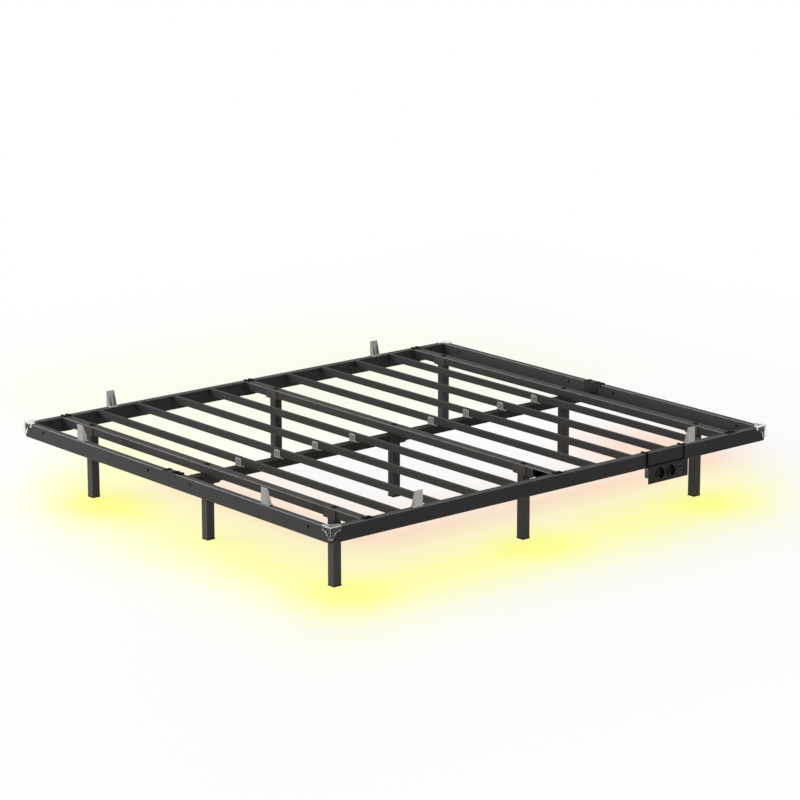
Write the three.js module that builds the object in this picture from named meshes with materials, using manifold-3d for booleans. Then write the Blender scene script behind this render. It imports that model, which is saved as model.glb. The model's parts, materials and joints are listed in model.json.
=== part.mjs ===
// A low metal double bed: a rectangular rail frame, three crossbeams on a centre beam, eight slats and
// nine square legs, with mattress retainers, corner guards, an under-rail light strip and a socket unit
// that hooks over the right rail. The origin is on the floor under the middle of the bed, +X is the
// bed's right side, +Y its head and +Z up. All sizes are in millimetres.
import * as THREE from "three";
import { mergeVertices } from "three/addons/utils/BufferGeometryUtils.js";
import Module from "manifold-3d";

const wasm = await Module();
wasm.setup();

// Overall sizes of the frame
const bedLength = 2080;
const bedWidth = 1830;
const bedHeight = 280;

// Gaps and cuts that every piece shares
const clearance = 0.3;
const cutOverrun = 6;
const weldDistance = 0.001;
const cornerSegments = 2;
const roundSides = 16;

// Rails: rectangular tubes, mitred at the corners and spliced at the middle
const railHeight = 56;
const railThickness = 25;
const railWall = 2;
const railCorner = 3;
const spliceLength = 300;
const splicePlugWidth = 20;
const splicePlugInset = 30;
const frameBolt = 7;
const railBoltDrop = 19.5;
const spliceBoltOffset = 127;
const cornerBoltInset = 120;
const sideBoltInset = 94;
const sideBoltDrop = 16;
const joinerArm = 160;
const joinerThickness = 3;

// Crossbeams and centre beam
const beamInset = 170.3;
const beamDrop = 1;
const beamWidth = 39;
const beamHeight = 32;
const beamWall = 1.5;
const beamCorner = 3;
const endPlateWidth = 40;
const endPlateThickness = 3;
const hookThickness = 3;
const hookBack = 3;
const nearHook = [-14, -5];
const farHook = [6, 18];
const accessHole = 20;
const legBolt = 9;
const centreWidth = 38;
const centreHeight = 34;
const bracketLeft = 36;
const bracketRight = 38;
const bracketSheet = 1.5;
const bracketLip = 14;
const bracketPadHeight = 2;
const bracketPads = [[-30, -16], [17, 34], [43, 57]];
const bracketClearLength = 57;

// Open end and bolt tab of the middle crossbeam
const openEndLength = 93;
const openEndLip = 3;
const tabGap = 1;
const tabWidth = 33;
const tabDepth = 39;
const tabTaper = 8;
const tabThickness = 3;
const tabBoltDrop = 14;

// Slats
const slatWidth = 15;
const slatHeight = 26.5;
const slatWall = 1.5;
const slatCorner = 2;
const slatTabTop = 7;
const slatTabHeight = 12;
const slatTabReach = 4;
const firstSlat = 191.75;
const lastSlatGap = 148.75;
const slatsToASide = 4;

// Legs
const legInset = 192.3;
const legWidth = 34;
const legWall = 2;
const legCorner = 3;
const legEnd = 3;
const sidePlateThickness = 3;
const sidePlateSkirt = 3;
const sidePlateChamfer = 2;
const sidePlateTopDrop = 2;
const saddleHalfLength = 33;
const cradleHalfLength = 39.5;

// Slat clips on the centre beam
const clipHalfWidth = 18;
const clipTopHalfWidth = 16.5;
const clipSheet = 3;
const clipTopDrop = 2.5;
const clipTopRadius = 4;
const clipEarReach = 14;
const clipEarHeight = 3;
const clipEarRise = 9;
const clipEarBend = 3;
const clipFlangeDepth = 9;
const clipFlangeHeight = 2;

// Mattress retainers
const retainerFootInset = 362;
const retainerSideInset = 385.5;
const retainerWidth = 35.5;
const retainerHeight = 61;
const retainerSheet = 3;
const retainerInset = 1;
const gussetMiddle = [11.4, 35];
const gussetLow = [17.5, 12];
const retainerFootWidth = 38;
const retainerFootDepth = 25;
const retainerFootHeight = 3;
const retainerFootCorner = 3;
const retainerRibHeight = 44;
const retainerPeg = 8;
const retainerPegLength = 9;

// Corner guards
const guardArm = 42;
const guardSheet = 7;
const guardLid = 4.5;
const guardDrop = 41;
const guardArmHeight = 14;
const guardArmCorner = 6;
const guardNeck = 8;
const guardTopWidth = 14;
const guardSegments = 3;

// Light strip under the rails
const stripWidth = 10;
const stripHeight = 2;
const stripMargin = 6;

// Socket unit on the right rail
const unitInset = 506.6;
const unitSlideBack = 45;
const unitSlideForward = 19;
const hangerSpan = [-110.7, 81.1];
const hangerSheet = 2.5;
const hangerDrop = 47.7;
const hangerBand = 6;
const hangerBandRise = 1;
const hangerLip = 10;
const hangerFlangeHalf = 50;
const hangerFlangeSheet = 1.2;
const hangerFoldDrop = 2;
const panelLength = 201.8;
const panelHeight = 65.5;
const panelTopDrop = 51.5;
const panelSheet = 2.6;
const panelBevel = 1;
const panelScrewHole = 4.3;
const panelScrewInset = 9;
const socketPlaces = [-43.8, 11.9];
const moduleSize = 45;
const moduleRise = 0.6;
const moduleBack = 2.8;
const wellDiameter = 39;
const wellDepth = 15;
const wellWall = 1.5;
const wellSides = 32;
const pinHole = 5;
const pinSpacing = 19;
const usbPlace = 58.2;
const usbWidth = 22.7;
const usbHeight = 41.9;
const usbBack = 13;
const usbPortRise = 9;
const usbPortDrop = 5;
const usbBigPort = [12.9, 5.7];
const usbSmallPort = [9.3, 3.3];
const usbBigDepth = 10;
const usbSmallDepth = 7;
const usbTongue = [10.5, 1.9];
const boxEndInset = 7;
const boxWall = 2;
const boxDepth = 24;
const boxBottomDrop = 98;
const bayDepth = 14;
const bayBottomDrop = 110;
const bayMargin = 3;

// Places that follow from the sizes above, measured from the top of the rails
const halfLength = bedLength / 2;
const halfWidth = bedWidth / 2;
const innerHalfLength = halfLength - railThickness;
const innerHalfWidth = halfWidth - railThickness;
const beamBottom = -beamDrop - beamHeight;
const centreTop = beamBottom - clearance;
const centreBottom = centreTop - centreHeight;
const beamOffset = halfLength - beamInset;
const legOffset = halfWidth - legInset;
const unitPlace = halfLength - unitInset;
const slatPitch = (beamOffset - lastSlatGap - firstSlat) / (slatsToASide - 1);
const slatPlaces = [];
for (let i = 0; i < slatsToASide; i += 1) {
  const place = firstSlat + i * slatPitch;
  slatPlaces.push(-place, place);
}
slatPlaces.sort((a, b) => a - b);

// Finishes
const finish = (color, roughness, metalness) =>
  new THREE.MeshStandardMaterial({ color, roughness, metalness, flatShading: true });
const blackPaint = finish(0x383736, 0.5, 0.3);
const crossPaint = finish(0x403f3e, 0.5, 0.3);
const innerSteel = finish(0x6b6c6e, 0.4, 0.8);
const greyPlastic = finish(0xa3a3a2, 0.55, 0);
const clearPlastic = finish(0xc9cdd0, 0.2, 0);
const panelPlastic = finish(0x2b2b2c, 0.45, 0);
const socketPlastic = finish(0x1b1b1c, 0.4, 0);
const stripPlastic = finish(0xf3ecb0, 0.4, 0);

const bed = new THREE.Group();

// A closed geometry as a solid that can be joined and cut.
function solid(geometry) {
  const bare = geometry.index ? geometry.toNonIndexed() : geometry.clone();
  bare.deleteAttribute("normal");
  bare.deleteAttribute("uv");
  const merged = mergeVertices(bare, weldDistance);
  const vertProperties = merged.attributes.position.array;
  const triVerts = new Uint32Array(merged.index.array);
  return new wasm.Manifold(new wasm.Mesh({ numProp: 3, vertProperties, triVerts }));
}

// A named mesh of a solid, in a group.
function piece(parent, name, shape, material) {
  const made = shape.getMesh();
  const geometry = new THREE.BufferGeometry();
  geometry.setAttribute("position", new THREE.BufferAttribute(made.vertProperties, 3));
  geometry.setIndex(new THREE.BufferAttribute(made.triVerts, 1));
  geometry.computeVertexNormals();
  const mesh = new THREE.Mesh(geometry, material);
  mesh.name = name;
  parent.add(mesh);
  return mesh;
}

// The span from a to b on one side of zero, mirrored for side -1.
const sided = (side, a, b) => (side > 0 ? [a, b] : [-b, -a]);

// The span of a width about a place.
const about = (place, width) => [place - width / 2, place + width / 2];

// A block between two places along each axis.
function block([x0, x1], [y0, y1], [z0, z1]) {
  const geometry = new THREE.BoxGeometry(x1 - x0, y1 - y0, z1 - z0);
  geometry.translate((x0 + x1) / 2, (y0 + y1) / 2, (z0 + z1) / 2);
  return solid(geometry);
}

// Turns a geometry that runs along Z so that it runs along an axis. Its X and Y become Y and Z for an
// axis of x, and X and Z for an axis of y, where it runs backwards from zero.
function laidAlong(axis, geometry) {
  if (axis === "x") {
    const turn = new THREE.Matrix4();
    turn.makeBasis(new THREE.Vector3(0, 1, 0), new THREE.Vector3(0, 0, 1), new THREE.Vector3(1, 0, 0));
    geometry.applyMatrix4(turn);
  }
  if (axis === "y") geometry.rotateX(Math.PI / 2);
  return geometry;
}

// A flat outline given thickness between two places along an axis.
function extruded(axis, shape, [from, to], curveSegments = cornerSegments) {
  const settings = { depth: to - from, bevelEnabled: false, curveSegments };
  const geometry = laidAlong(axis, new THREE.ExtrudeGeometry(shape, settings));
  const shift = { x: [from, 0, 0], y: [0, to, 0], z: [0, 0, from] }[axis];
  return geometry.translate(...shift);
}

// The same from a list of corner points.
function plate(axis, points, span) {
  const shape = new THREE.Shape(points.map(([a, b]) => new THREE.Vector2(a, b)));
  return solid(extruded(axis, shape, span));
}

// A round rod along an axis between two places, with its centre line through a point.
function rod(axis, diameter, [from, to], centre, sides = roundSides) {
  const geometry = new THREE.CylinderGeometry(diameter / 2, diameter / 2, to - from, sides);
  geometry.rotateX(Math.PI / 2);
  geometry.translate(0, 0, (from + to) / 2);
  if (axis === "x") laidAlong("x", geometry);
  if (axis === "y") geometry.rotateX(-Math.PI / 2);
  return solid(geometry.translate(...centre));
}

// A rectangle with round corners, its middle at a point.
function roundedRectangle(width, height, radius, [midA, midB]) {
  const a = width / 2 - radius;
  const b = height / 2 - radius;
  const shape = new THREE.Shape();
  shape.absarc(midA + a, midB + b, radius, 0, Math.PI / 2);
  shape.absarc(midA - a, midB + b, radius, Math.PI / 2, Math.PI);
  shape.absarc(midA - a, midB - b, radius, Math.PI, 1.5 * Math.PI);
  shape.absarc(midA + a, midB - b, radius, 1.5 * Math.PI, 2 * Math.PI);
  return shape;
}

// A rectangular tube's geometry along an axis, open at both ends.
function tubeGeometry(axis, [width, height], wall, radius, span, middle) {
  const shape = roundedRectangle(width, height, radius, middle);
  const a = width / 2 - wall;
  const b = height / 2 - wall;
  const hole = new THREE.Path();
  hole.moveTo(middle[0] - a, middle[1] - b);
  hole.lineTo(middle[0] + a, middle[1] - b);
  hole.lineTo(middle[0] + a, middle[1] + b);
  hole.lineTo(middle[0] - a, middle[1] + b);
  hole.closePath();
  shape.holes.push(hole);
  return extruded(axis, shape, span);
}

const tube = (axis, size, wall, radius, span, middle) =>
  solid(tubeGeometry(axis, size, wall, radius, span, middle));

// One half of a rail. It runs along +X from the splice to the mitred corner, with its outer face at
// y = 0, its inner face at y = railThickness and its top at z = 0.
function railTube(length) {
  const size = [railThickness, railHeight];
  const middle = [railThickness / 2, -railHeight / 2];
  const span = [clearance / 2, length - clearance];
  const geometry = tubeGeometry("x", size, railWall, railCorner, span, middle);
  const places = geometry.attributes.position;
  for (let i = 0; i < places.count; i += 1) {
    if (places.getX(i) > length / 2) places.setX(i, places.getX(i) - places.getY(i));
  }
  return solid(geometry);
}

// The sleeve that one half carries and the other slides over, held by a plug weld.
function spliceSleeve() {
  const lost = 2 * (railWall + clearance);
  const size = [railThickness - lost, railHeight - lost];
  const middle = [railThickness / 2, -railHeight / 2];
  const sleeve = tube("x", size, railWall, railCorner / 2, about(0, spliceLength), middle);
  const weld = block(
    about(splicePlugInset, splicePlugWidth),
    [railThickness - railWall - clearance - railWall / 2, railThickness - railWall / 2],
    about(-railHeight / 2, splicePlugWidth),
  );
  return sleeve.add(weld);
}

// Bolt holes through both walls of an end rail's half.
function endRailHalf(withSleeve, withRetainer) {
  const through = [-cutOverrun, railThickness + cutOverrun];
  let half = railTube(halfWidth);
  if (withSleeve) half = half.add(spliceSleeve());
  for (const place of [-spliceBoltOffset, spliceBoltOffset, halfWidth - cornerBoltInset]) {
    half = half.subtract(rod("y", frameBolt, through, [place, 0, -railBoltDrop]));
  }
  return withRetainer ? half.subtract(pegHole(halfWidth - retainerFootInset)) : half;
}

// A side rail's half has a slot in its inner wall for the tabs of each slat.
function sideRailHalf(withSleeve) {
  const innerWall = [railThickness / 2, railThickness + cutOverrun];
  let half = railTube(halfLength);
  if (withSleeve) half = half.add(spliceSleeve());
  const slotSpan = [-slatTabTop - slatTabHeight - clearance, clearance - slatTabTop];
  for (const place of slatPlaces) {
    if (place > 0) {
      half = half.subtract(block(about(place, slatWidth + 2 * clearance), innerWall, slotSpan));
    }
  }
  const boltAt = [halfLength - sideBoltInset, 0, -sideBoltDrop];
  half = half.subtract(rod("y", frameBolt, innerWall, boltAt));
  return half.subtract(pegHole(halfLength - retainerSideInset));
}

function pegHole(place) {
  const at = [place, retainerInset + retainerFootDepth / 2, 0];
  return rod("z", retainerPeg + 2 * clearance, [-railHeight / 2, cutOverrun], at);
}

// A frame for each rail, in which it lies as railTube says.
const railFrames = {};
for (const [name, x, y, turn] of [
  ["foot", 0, -halfLength, 0],
  ["right", halfWidth, 0, Math.PI / 2],
  ["head", 0, halfLength, Math.PI],
  ["left", -halfWidth, 0, -Math.PI / 2],
]) {
  const frame = new THREE.Group();
  frame.position.set(x, y, bedHeight);
  frame.rotation.z = turn;
  bed.add(frame);
  railFrames[name] = frame;
}

function addRails() {
  const halves = [
    ["foot_rail_right", "foot", 1, endRailHalf(true, true)],
    ["foot_rail_left", "foot", -1, endRailHalf(false, true)],
    ["head_rail_left", "head", 1, endRailHalf(true, false)],
    ["head_rail_right", "head", -1, endRailHalf(false, false)],
    ["right_rail_head", "right", 1, sideRailHalf(true)],
    ["right_rail_foot", "right", -1, sideRailHalf(false)],
    ["left_rail_foot", "left", 1, sideRailHalf(true)],
    ["left_rail_head", "left", -1, sideRailHalf(false)],
  ];
  for (const [name, frame, side, shape] of halves) {
    piece(railFrames[frame], name, shape, blackPaint).scale.x = side;
  }
}

// A frame at each corner, with x along the end rail and y along the side rail, both inwards.
function addCorners() {
  for (const [endName, endSide] of [["foot", -1], ["head", 1]]) {
    for (const [sideName, side] of [["left", -1], ["right", 1]]) {
      const corner = new THREE.Group();
      corner.position.set(side * halfWidth, endSide * halfLength, bedHeight);
      corner.scale.set(-side, -endSide, 1);
      bed.add(corner);
      piece(corner, `corner_joiner_${endName}_${sideName}`, cornerJoiner(), innerSteel);
      piece(corner, `corner_guard_${endName}_${sideName}`, cornerGuard(), clearPlastic);
    }
  }
}

// A folded strip inside the two rails, against their outer walls.
function cornerJoiner() {
  const near = railWall + clearance;
  const far = near + joinerThickness;
  const outline = [
    [near, near],
    [joinerArm, near],
    [joinerArm, far],
    [far, far],
    [far, joinerArm],
    [near, joinerArm],
  ];
  const span = [-railHeight + near, -near];
  const through = [-cutOverrun, far + cutOverrun];
  return plate("z", outline, span)
    .subtract(rod("y", frameBolt, through, [cornerBoltInset, 0, -railBoltDrop]))
    .subtract(rod("x", frameBolt, through, [0, sideBoltInset, -sideBoltDrop]));
}

// A clear guard over the outside of a corner: a lid and two walls, with three arms that have hollowed
// edges between them.
function cornerGuard() {
  const near = -clearance - guardSheet;
  const plan = new THREE.Shape();
  plan.absarc(near + guardSheet, near + guardSheet, guardSheet, Math.PI, 1.5 * Math.PI);
  plan.lineTo(guardArm, near);
  plan.lineTo(guardArm, guardTopWidth);
  plan.quadraticCurveTo(guardTopWidth, guardTopWidth, guardTopWidth, guardArm);
  plan.lineTo(near, guardArm);
  const below = -guardDrop - cutOverrun;
  const beyond = guardArm + cutOverrun;
  const window = new THREE.Shape();
  window.moveTo(beyond, guardArmCorner - guardArmHeight);
  window.absarc(
    guardArm - guardArmCorner,
    guardArmCorner - guardArmHeight,
    guardArmCorner,
    0,
    -Math.PI / 2,
    true,
  );
  window.quadraticCurveTo(guardNeck, -guardArmHeight, guardNeck, below);
  window.lineTo(beyond, below);
  const cut = [near - cutOverrun, 0];
  const inside = [-clearance, beyond];
  return solid(extruded("z", plan, [-guardDrop, clearance + guardLid], guardSegments))
    .subtract(block(inside, inside, [below, clearance]))
    .subtract(solid(extruded("y", window, cut, guardSegments)))
    .subtract(solid(extruded("x", window, cut, guardSegments)));
}

// A slat's tube between the side rails. At each end its two side walls go on as tabs.
function slat() {
  const bodyHalf = innerHalfWidth - clearance;
  const tabHalf = innerHalfWidth + railWall + slatTabReach;
  const section = [slatWidth, slatHeight];
  let bar = tube("x", section, slatWall, slatCorner, [-tabHalf, tabHalf], [0, -slatHeight / 2]);
  const width = about(0, slatWidth + 2 * cutOverrun);
  for (const side of [-1, 1]) {
    const end = sided(side, bodyHalf, tabHalf + cutOverrun);
    bar = bar
      .subtract(block(end, width, [-slatTabTop, cutOverrun]))
      .subtract(block(end, width, [-slatHeight - cutOverrun, -slatTabTop - slatTabHeight]));
  }
  return bar;
}

function addSlats() {
  slatPlaces.forEach((place, i) => {
    piece(bed, `slat_${i + 1}`, slat(), blackPaint).position.set(0, place, bedHeight);
    piece(bed, `slat_clip_${i + 1}`, slatClip(), greyPlastic).position.set(0, place, bedHeight);
  });
}

// A clip that stands on the centre beam and holds a slat between two tabs, one of them with an ear.
function slatClip() {
  const gap = slatWidth / 2 + clearance;
  const bottom = centreTop + clearance;
  const top = -clipTopDrop - clipTopRadius;
  const baseTop = -slatHeight - clearance;
  const reach = gap + clipSheet;
  const arcMiddle = clipTopHalfWidth - clipTopRadius;
  const tab = new THREE.Shape();
  tab.moveTo(-clipHalfWidth, bottom);
  tab.lineTo(clipHalfWidth, bottom);
  tab.absarc(arcMiddle, top, clipTopRadius, 0, Math.PI / 2);
  tab.absarc(-arcMiddle, top, clipTopRadius, Math.PI / 2, Math.PI);
  let clip = block([-clipHalfWidth, clipHalfWidth], [-reach, reach], [bottom, baseTop]);
  for (const side of [-1, 1]) {
    clip = clip.add(solid(extruded("y", tab, sided(side, gap, reach))));
  }
  const ear = [
    [clipHalfWidth - clipSheet, bottom],
    [clipHalfWidth + clipEarReach, bottom],
    [clipHalfWidth + clipEarReach, bottom + clipEarHeight],
    [clipHalfWidth + clipEarBend, bottom + clipEarHeight + clipEarBend / 2],
    [clipHalfWidth - clipEarBend / 2, bottom + clipEarRise],
    [clipHalfWidth - clipSheet, bottom + clipEarRise],
  ];
  const flange = block(
    [clipHalfWidth - clipSheet, clipHalfWidth + clipEarReach],
    [-reach, clipFlangeDepth - reach],
    [bottom, bottom + clipFlangeHeight],
  );
  return clip.add(plate("y", ear, [-reach, -gap])).add(flange);
}

// A crossbeam between the side rails: a tube with an end plate and two hooks over each rail.
function crossbeam() {
  const reach = innerHalfWidth - clearance;
  const plateStart = reach - endPlateThickness;
  const section = [beamWidth, beamHeight];
  const middle = [0, -beamDrop - beamHeight / 2];
  let beam = tube("x", section, beamWall, beamCorner, [-plateStart, plateStart], middle);
  const hookEnd = halfWidth - hookBack;
  const hookTop = clearance + hookThickness;
  for (const side of [-1, 1]) {
    const sheet = sided(side, plateStart, reach);
    beam = beam.add(block(sheet, about(0, endPlateWidth), [-railHeight, 0]));
    for (const hook of [nearHook, farHook]) {
      beam = beam
        .add(block(sheet, hook, [-hookThickness, hookTop]))
        .add(block(sided(side, plateStart, hookEnd), hook, [clearance, hookTop]));
    }
  }
  for (const place of [-legOffset, 0, legOffset]) {
    beam = beam
      .subtract(rod("z", accessHole, [middle[1], cutOverrun], [place, 0, 0]))
      .subtract(rod("z", legBolt, [beamBottom - cutOverrun, middle[1]], [place, 0, 0]));
  }
  return beam;
}

// The middle crossbeam's right end has an open front and a bolt tab before it.
function middleCrossbeam() {
  const face = -beamWidth / 2;
  const plateStart = innerHalfWidth - clearance - endPlateThickness;
  const openEndStart = innerHalfWidth - openEndLength;
  const tabEnd = openEndStart - tabGap;
  const tabStart = tabEnd - tabWidth;
  const opening = block(
    [openEndStart, plateStart],
    [face - cutOverrun, face + beamWall + cutOverrun],
    [beamBottom + openEndLip, -beamDrop - openEndLip],
  );
  const outline = [
    [tabStart, -beamDrop - openEndLip],
    [tabEnd, -beamDrop - openEndLip],
    [tabEnd, beamBottom],
    [tabEnd - tabTaper, -tabDepth],
    [tabStart + tabTaper, -tabDepth],
    [tabStart, beamBottom],
  ];
  const tabFace = [face - tabThickness, face + beamWall / 2];
  const tab = plate("y", outline, tabFace);
  const boltAt = [(tabStart + tabEnd) / 2, 0, -tabBoltDrop];
  const bolt = rod("y", frameBolt, [face - cutOverrun, face + cutOverrun], boltAt);
  return crossbeam().subtract(opening).add(tab).subtract(bolt);
}

function addCrossbeams() {
  for (const [name, shape, place] of [
    ["crossbeam_foot", crossbeam(), -beamOffset],
    ["crossbeam_middle", middleCrossbeam(), 0],
    ["crossbeam_head", crossbeam(), beamOffset],
  ]) {
    piece(bed, name, shape, crossPaint).position.set(0, place, bedHeight);
  }
}

// Half of the centre beam, from the middle of the bed to an end rail. Its bottom is cut back near the
// rail, and its end bracket goes over the rail and down its outer face.
function centreBeamHalf() {
  const reach = innerHalfLength - clearance;
  const plateStart = reach - endPlateThickness;
  const section = [centreWidth, centreHeight];
  const middle = [0, centreTop - centreHeight / 2];
  const span = [clearance / 2, plateStart];
  const wide = about(0, 2 * centreWidth);
  const cutBack = [innerHalfLength - bracketClearLength, innerHalfLength];
  const below = [centreBottom - cutOverrun, -railHeight];
  const lipStart = halfLength + clearance;
  const lipEnd = lipStart + bracketSheet;
  const sheetTop = clearance + bracketSheet;
  const across = [-bracketLeft, bracketRight];
  const padEnd = halfLength - hookBack;
  let beam = tube("y", section, beamWall, beamCorner, span, middle)
    .subtract(block(wide, cutBack, below))
    .add(block(across, [plateStart, reach], [-railHeight, sheetTop]))
    .add(block(across, [plateStart, lipEnd], [clearance, sheetTop]))
    .add(block(across, [lipStart, lipEnd], [-bracketLip, sheetTop]));
  for (const pad of bracketPads) {
    const link = [Math.min(pad[0], bracketRight) - bracketSheet, pad[1]];
    beam = beam
      .add(block(link, [plateStart, reach], [-bracketLip, sheetTop]))
      .add(block(link, [plateStart, innerHalfLength + railThickness / 2], [clearance, sheetTop]))
      .add(block(pad, [plateStart, padEnd], [clearance, sheetTop + bracketPadHeight]));
  }
  for (const place of [0, beamOffset]) {
    const through = [centreBottom - cutOverrun, centreTop + cutOverrun];
    beam = beam.subtract(rod("z", legBolt, through, [0, place, 0]));
  }
  return beam;
}

function addCentreBeam() {
  for (const [name, side] of [["centre_beam_foot", -1], ["centre_beam_head", 1]]) {
    const mesh = piece(bed, name, centreBeamHalf(), blackPaint);
    mesh.scale.y = side;
    mesh.position.z = bedHeight;
  }
}

// A leg's tube with a closed foot and a bored top plate, standing on z = 0.
function legTube(height, topAcross, topAlong) {
  const hole = [height - legEnd - cutOverrun, height + cutOverrun];
  return tube("z", [legWidth, legWidth], legWall, legCorner, [0, height], [0, 0])
    .add(block(about(0, legWidth - legWall), about(0, legWidth - legWall), [0, legEnd]))
    .add(block(about(0, topAcross), about(0, topAlong), [height - legEnd, height]))
    .subtract(rod("z", legBolt, hole, [0, 0, 0]));
}

// The outline of a side plate that joins a leg to the beam on it, with its lower corners cut off.
function sidePlateOutline(half, beamTop, beamUnderside) {
  const top = bedHeight + beamTop - sidePlateTopDrop;
  const skirt = bedHeight + beamUnderside - sidePlateSkirt;
  const shoulder = skirt + sidePlateChamfer;
  const narrow = half - sidePlateChamfer;
  return [
    [-half, top],
    [-half, shoulder],
    [-narrow, skirt],
    [narrow, skirt],
    [half, shoulder],
    [half, top],
  ];
}

// A leg under a crossbeam, with a saddle whose two plates lie on the beam's sides.
function sideLeg() {
  const gap = beamWidth / 2 + clearance;
  const side = gap + sidePlateThickness;
  const across = 2 * (saddleHalfLength - sidePlateChamfer);
  const outline = sidePlateOutline(saddleHalfLength, -beamDrop, beamBottom);
  return legTube(bedHeight + beamBottom - clearance, across, 2 * side)
    .add(plate("y", outline, [gap, side]))
    .add(plate("y", outline, [-side, -gap]));
}

// A leg under the centre beam, with a cradle whose two plates lie on the beam's sides.
function centreLeg() {
  const gap = centreWidth / 2 + clearance;
  const side = gap + sidePlateThickness;
  const along = 2 * (cradleHalfLength - sidePlateChamfer);
  const outline = sidePlateOutline(cradleHalfLength, centreTop, centreBottom);
  return legTube(bedHeight + centreBottom - clearance, 2 * side, along)
    .add(plate("x", outline, [gap, side]))
    .add(plate("x", outline, [-side, -gap]));
}

function addLegs() {
  for (const [row, place] of [["foot", -beamOffset], ["middle", 0], ["head", beamOffset]]) {
    for (const [column, across] of [["left", -legOffset], ["centre", 0], ["right", legOffset]]) {
      const shape = column === "centre" ? centreLeg() : sideLeg();
      piece(bed, `leg_${row}_${column}`, shape, crossPaint).position.set(across, place, 0);
    }
  }
}

// A retainer, in a rail's frame: an upright plate with a gusset at each end and a lower rib between
// them, on a foot with a peg.
function retainer() {
  const front = retainerInset;
  const footTop = clearance + retainerFootHeight;
  const footBack = front + retainerFootDepth;
  const [middleDepth, middleHeight] = gussetMiddle;
  const [lowDepth, lowHeight] = gussetLow;
  const foot = roundedRectangle(
    retainerFootWidth,
    retainerFootDepth,
    retainerFootCorner,
    [0, front + retainerFootDepth / 2],
  );
  const gusset = [
    [front, clearance],
    [footBack - retainerFootCorner, clearance],
    [footBack - retainerFootCorner, footTop],
    [front + lowDepth, lowHeight],
    [front + middleDepth, middleHeight],
    [front + retainerSheet, retainerHeight],
    [front, retainerHeight],
  ];
  const rib = [
    [front + retainerSheet / 2, clearance],
    [front + lowDepth, clearance],
    [front + lowDepth, lowHeight],
    [front + retainerSheet / 2, retainerRibHeight],
  ];
  const end = retainerWidth / 2;
  const pegAt = [0, front + retainerFootDepth / 2, 0];
  return solid(extruded("z", foot, [clearance, footTop]))
    .add(block([-end, end], [front, front + retainerSheet], [clearance, retainerHeight]))
    .add(plate("x", gusset, [-end, retainerSheet - end]))
    .add(plate("x", gusset, [end - retainerSheet, end]))
    .add(plate("x", rib, about(0, retainerSheet)))
    .add(rod("z", retainerPeg, [-retainerPegLength, footTop], pegAt));
}

function addRetainers() {
  const across = halfWidth - retainerFootInset;
  const along = halfLength - retainerSideInset;
  for (const [frame, name, place] of [
    ["foot", "retainer_foot_left", -across],
    ["foot", "retainer_foot_right", across],
    ["right", "retainer_right_foot", -along],
    ["right", "retainer_right_head", along],
    ["left", "retainer_left_head", -along],
    ["left", "retainer_left_foot", along],
  ]) {
    piece(railFrames[frame], name, retainer(), greyPlastic).position.x = place;
  }
}

// The light strip under all four rails, with a gap where the socket unit slides.
function addLightStrip() {
  const near = (railThickness - stripWidth) / 2;
  const far = near + stripWidth;
  const x0 = near - halfWidth;
  const y0 = near - halfLength;
  const endBand = [-halfLength + near, -halfLength + far];
  const rightBand = [halfWidth - far, halfWidth - near];
  const height = [-railHeight - clearance - stripHeight, -railHeight - clearance];
  const gapStart = unitPlace - panelLength / 2 - unitSlideBack - stripMargin;
  const gapEnd = unitPlace + panelLength / 2 + unitSlideForward + stripMargin;
  const strip = block([x0, -x0], endBand, height)
    .add(block([x0, -x0], sided(-1, ...endBand), height))
    .add(block([x0, x0 + stripWidth], [y0, -y0], height))
    .add(block(rightBand, [y0, gapStart], height))
    .add(block(rightBand, [gapEnd, -y0], height));
  piece(bed, "led_strip", strip, stripPlastic).position.z = bedHeight;
}

// Socket unit. In its frame x = 0 is the rail's outer face, y = 0 the panel's middle and z = 0 the
// rail's top.
const panelBack = clearance + hangerFlangeSheet + clearance;
const panelFront = panelBack + panelSheet;
const panelMiddle = -panelTopDrop - panelHeight / 2;
const flangeTop = -railHeight - clearance;
const boxTop = flangeTop - hangerFoldDrop - clearance;
const boxFront = panelBack - clearance;

// The hanger: a plate on the rail's face with a band hooked over the rail at each end, and a flange
// that folds in under the rail and carries the box.
function socketHanger() {
  const [start, end] = hangerSpan;
  const front = clearance + hangerSheet;
  const bandFront = front + hangerBandRise;
  const bandTop = clearance + hangerSheet;
  const back = -railThickness - clearance - hangerSheet;
  const flange = [-hangerFlangeHalf, hangerFlangeHalf];
  const flangeFront = clearance + hangerFlangeSheet;
  let shape = block([clearance, front], [start, end], [-hangerDrop, clearance])
    .add(block([clearance, flangeFront], flange, [flangeTop - hangerFoldDrop, -hangerDrop]))
    .add(block([-boxDepth, flangeFront], flange, [flangeTop - hangerFoldDrop, flangeTop]));
  for (const band of [[start, start + hangerBand], [end - hangerBand, end]]) {
    shape = shape
      .add(block([clearance, bandFront], band, [-hangerDrop, bandTop]))
      .add(block([back, bandFront], band, [clearance, bandTop]))
      .add(block([back, back + hangerSheet], band, [-hangerLip, bandTop]));
  }
  return shape;
}

// The box behind the panel: open at the front, with a deeper bay in its bottom where the inserts are.
function backBox() {
  const end = panelLength / 2 - boxEndInset;
  const bay = [
    socketPlaces[0] - moduleSize / 2 - bayMargin,
    usbPlace + usbWidth / 2 + bayMargin,
  ];
  const outer = block([-boxDepth, boxFront], [-end, end], [-boxBottomDrop, boxTop])
    .add(block([-bayDepth, boxFront], bay, [-bayBottomDrop, boxTop]));
  const inside = block(
    [boxWall - boxDepth, boxFront + cutOverrun],
    [boxWall - end, end - boxWall],
    [boxWall - boxBottomDrop, boxTop - boxWall],
  );
  const insideBay = block(
    [boxWall - bayDepth, boxFront + cutOverrun],
    [bay[0] + boxWall, bay[1] - boxWall],
    [boxWall - bayBottomDrop, boxTop - boxWall],
  );
  return outer.subtract(inside.add(insideBay));
}

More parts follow.
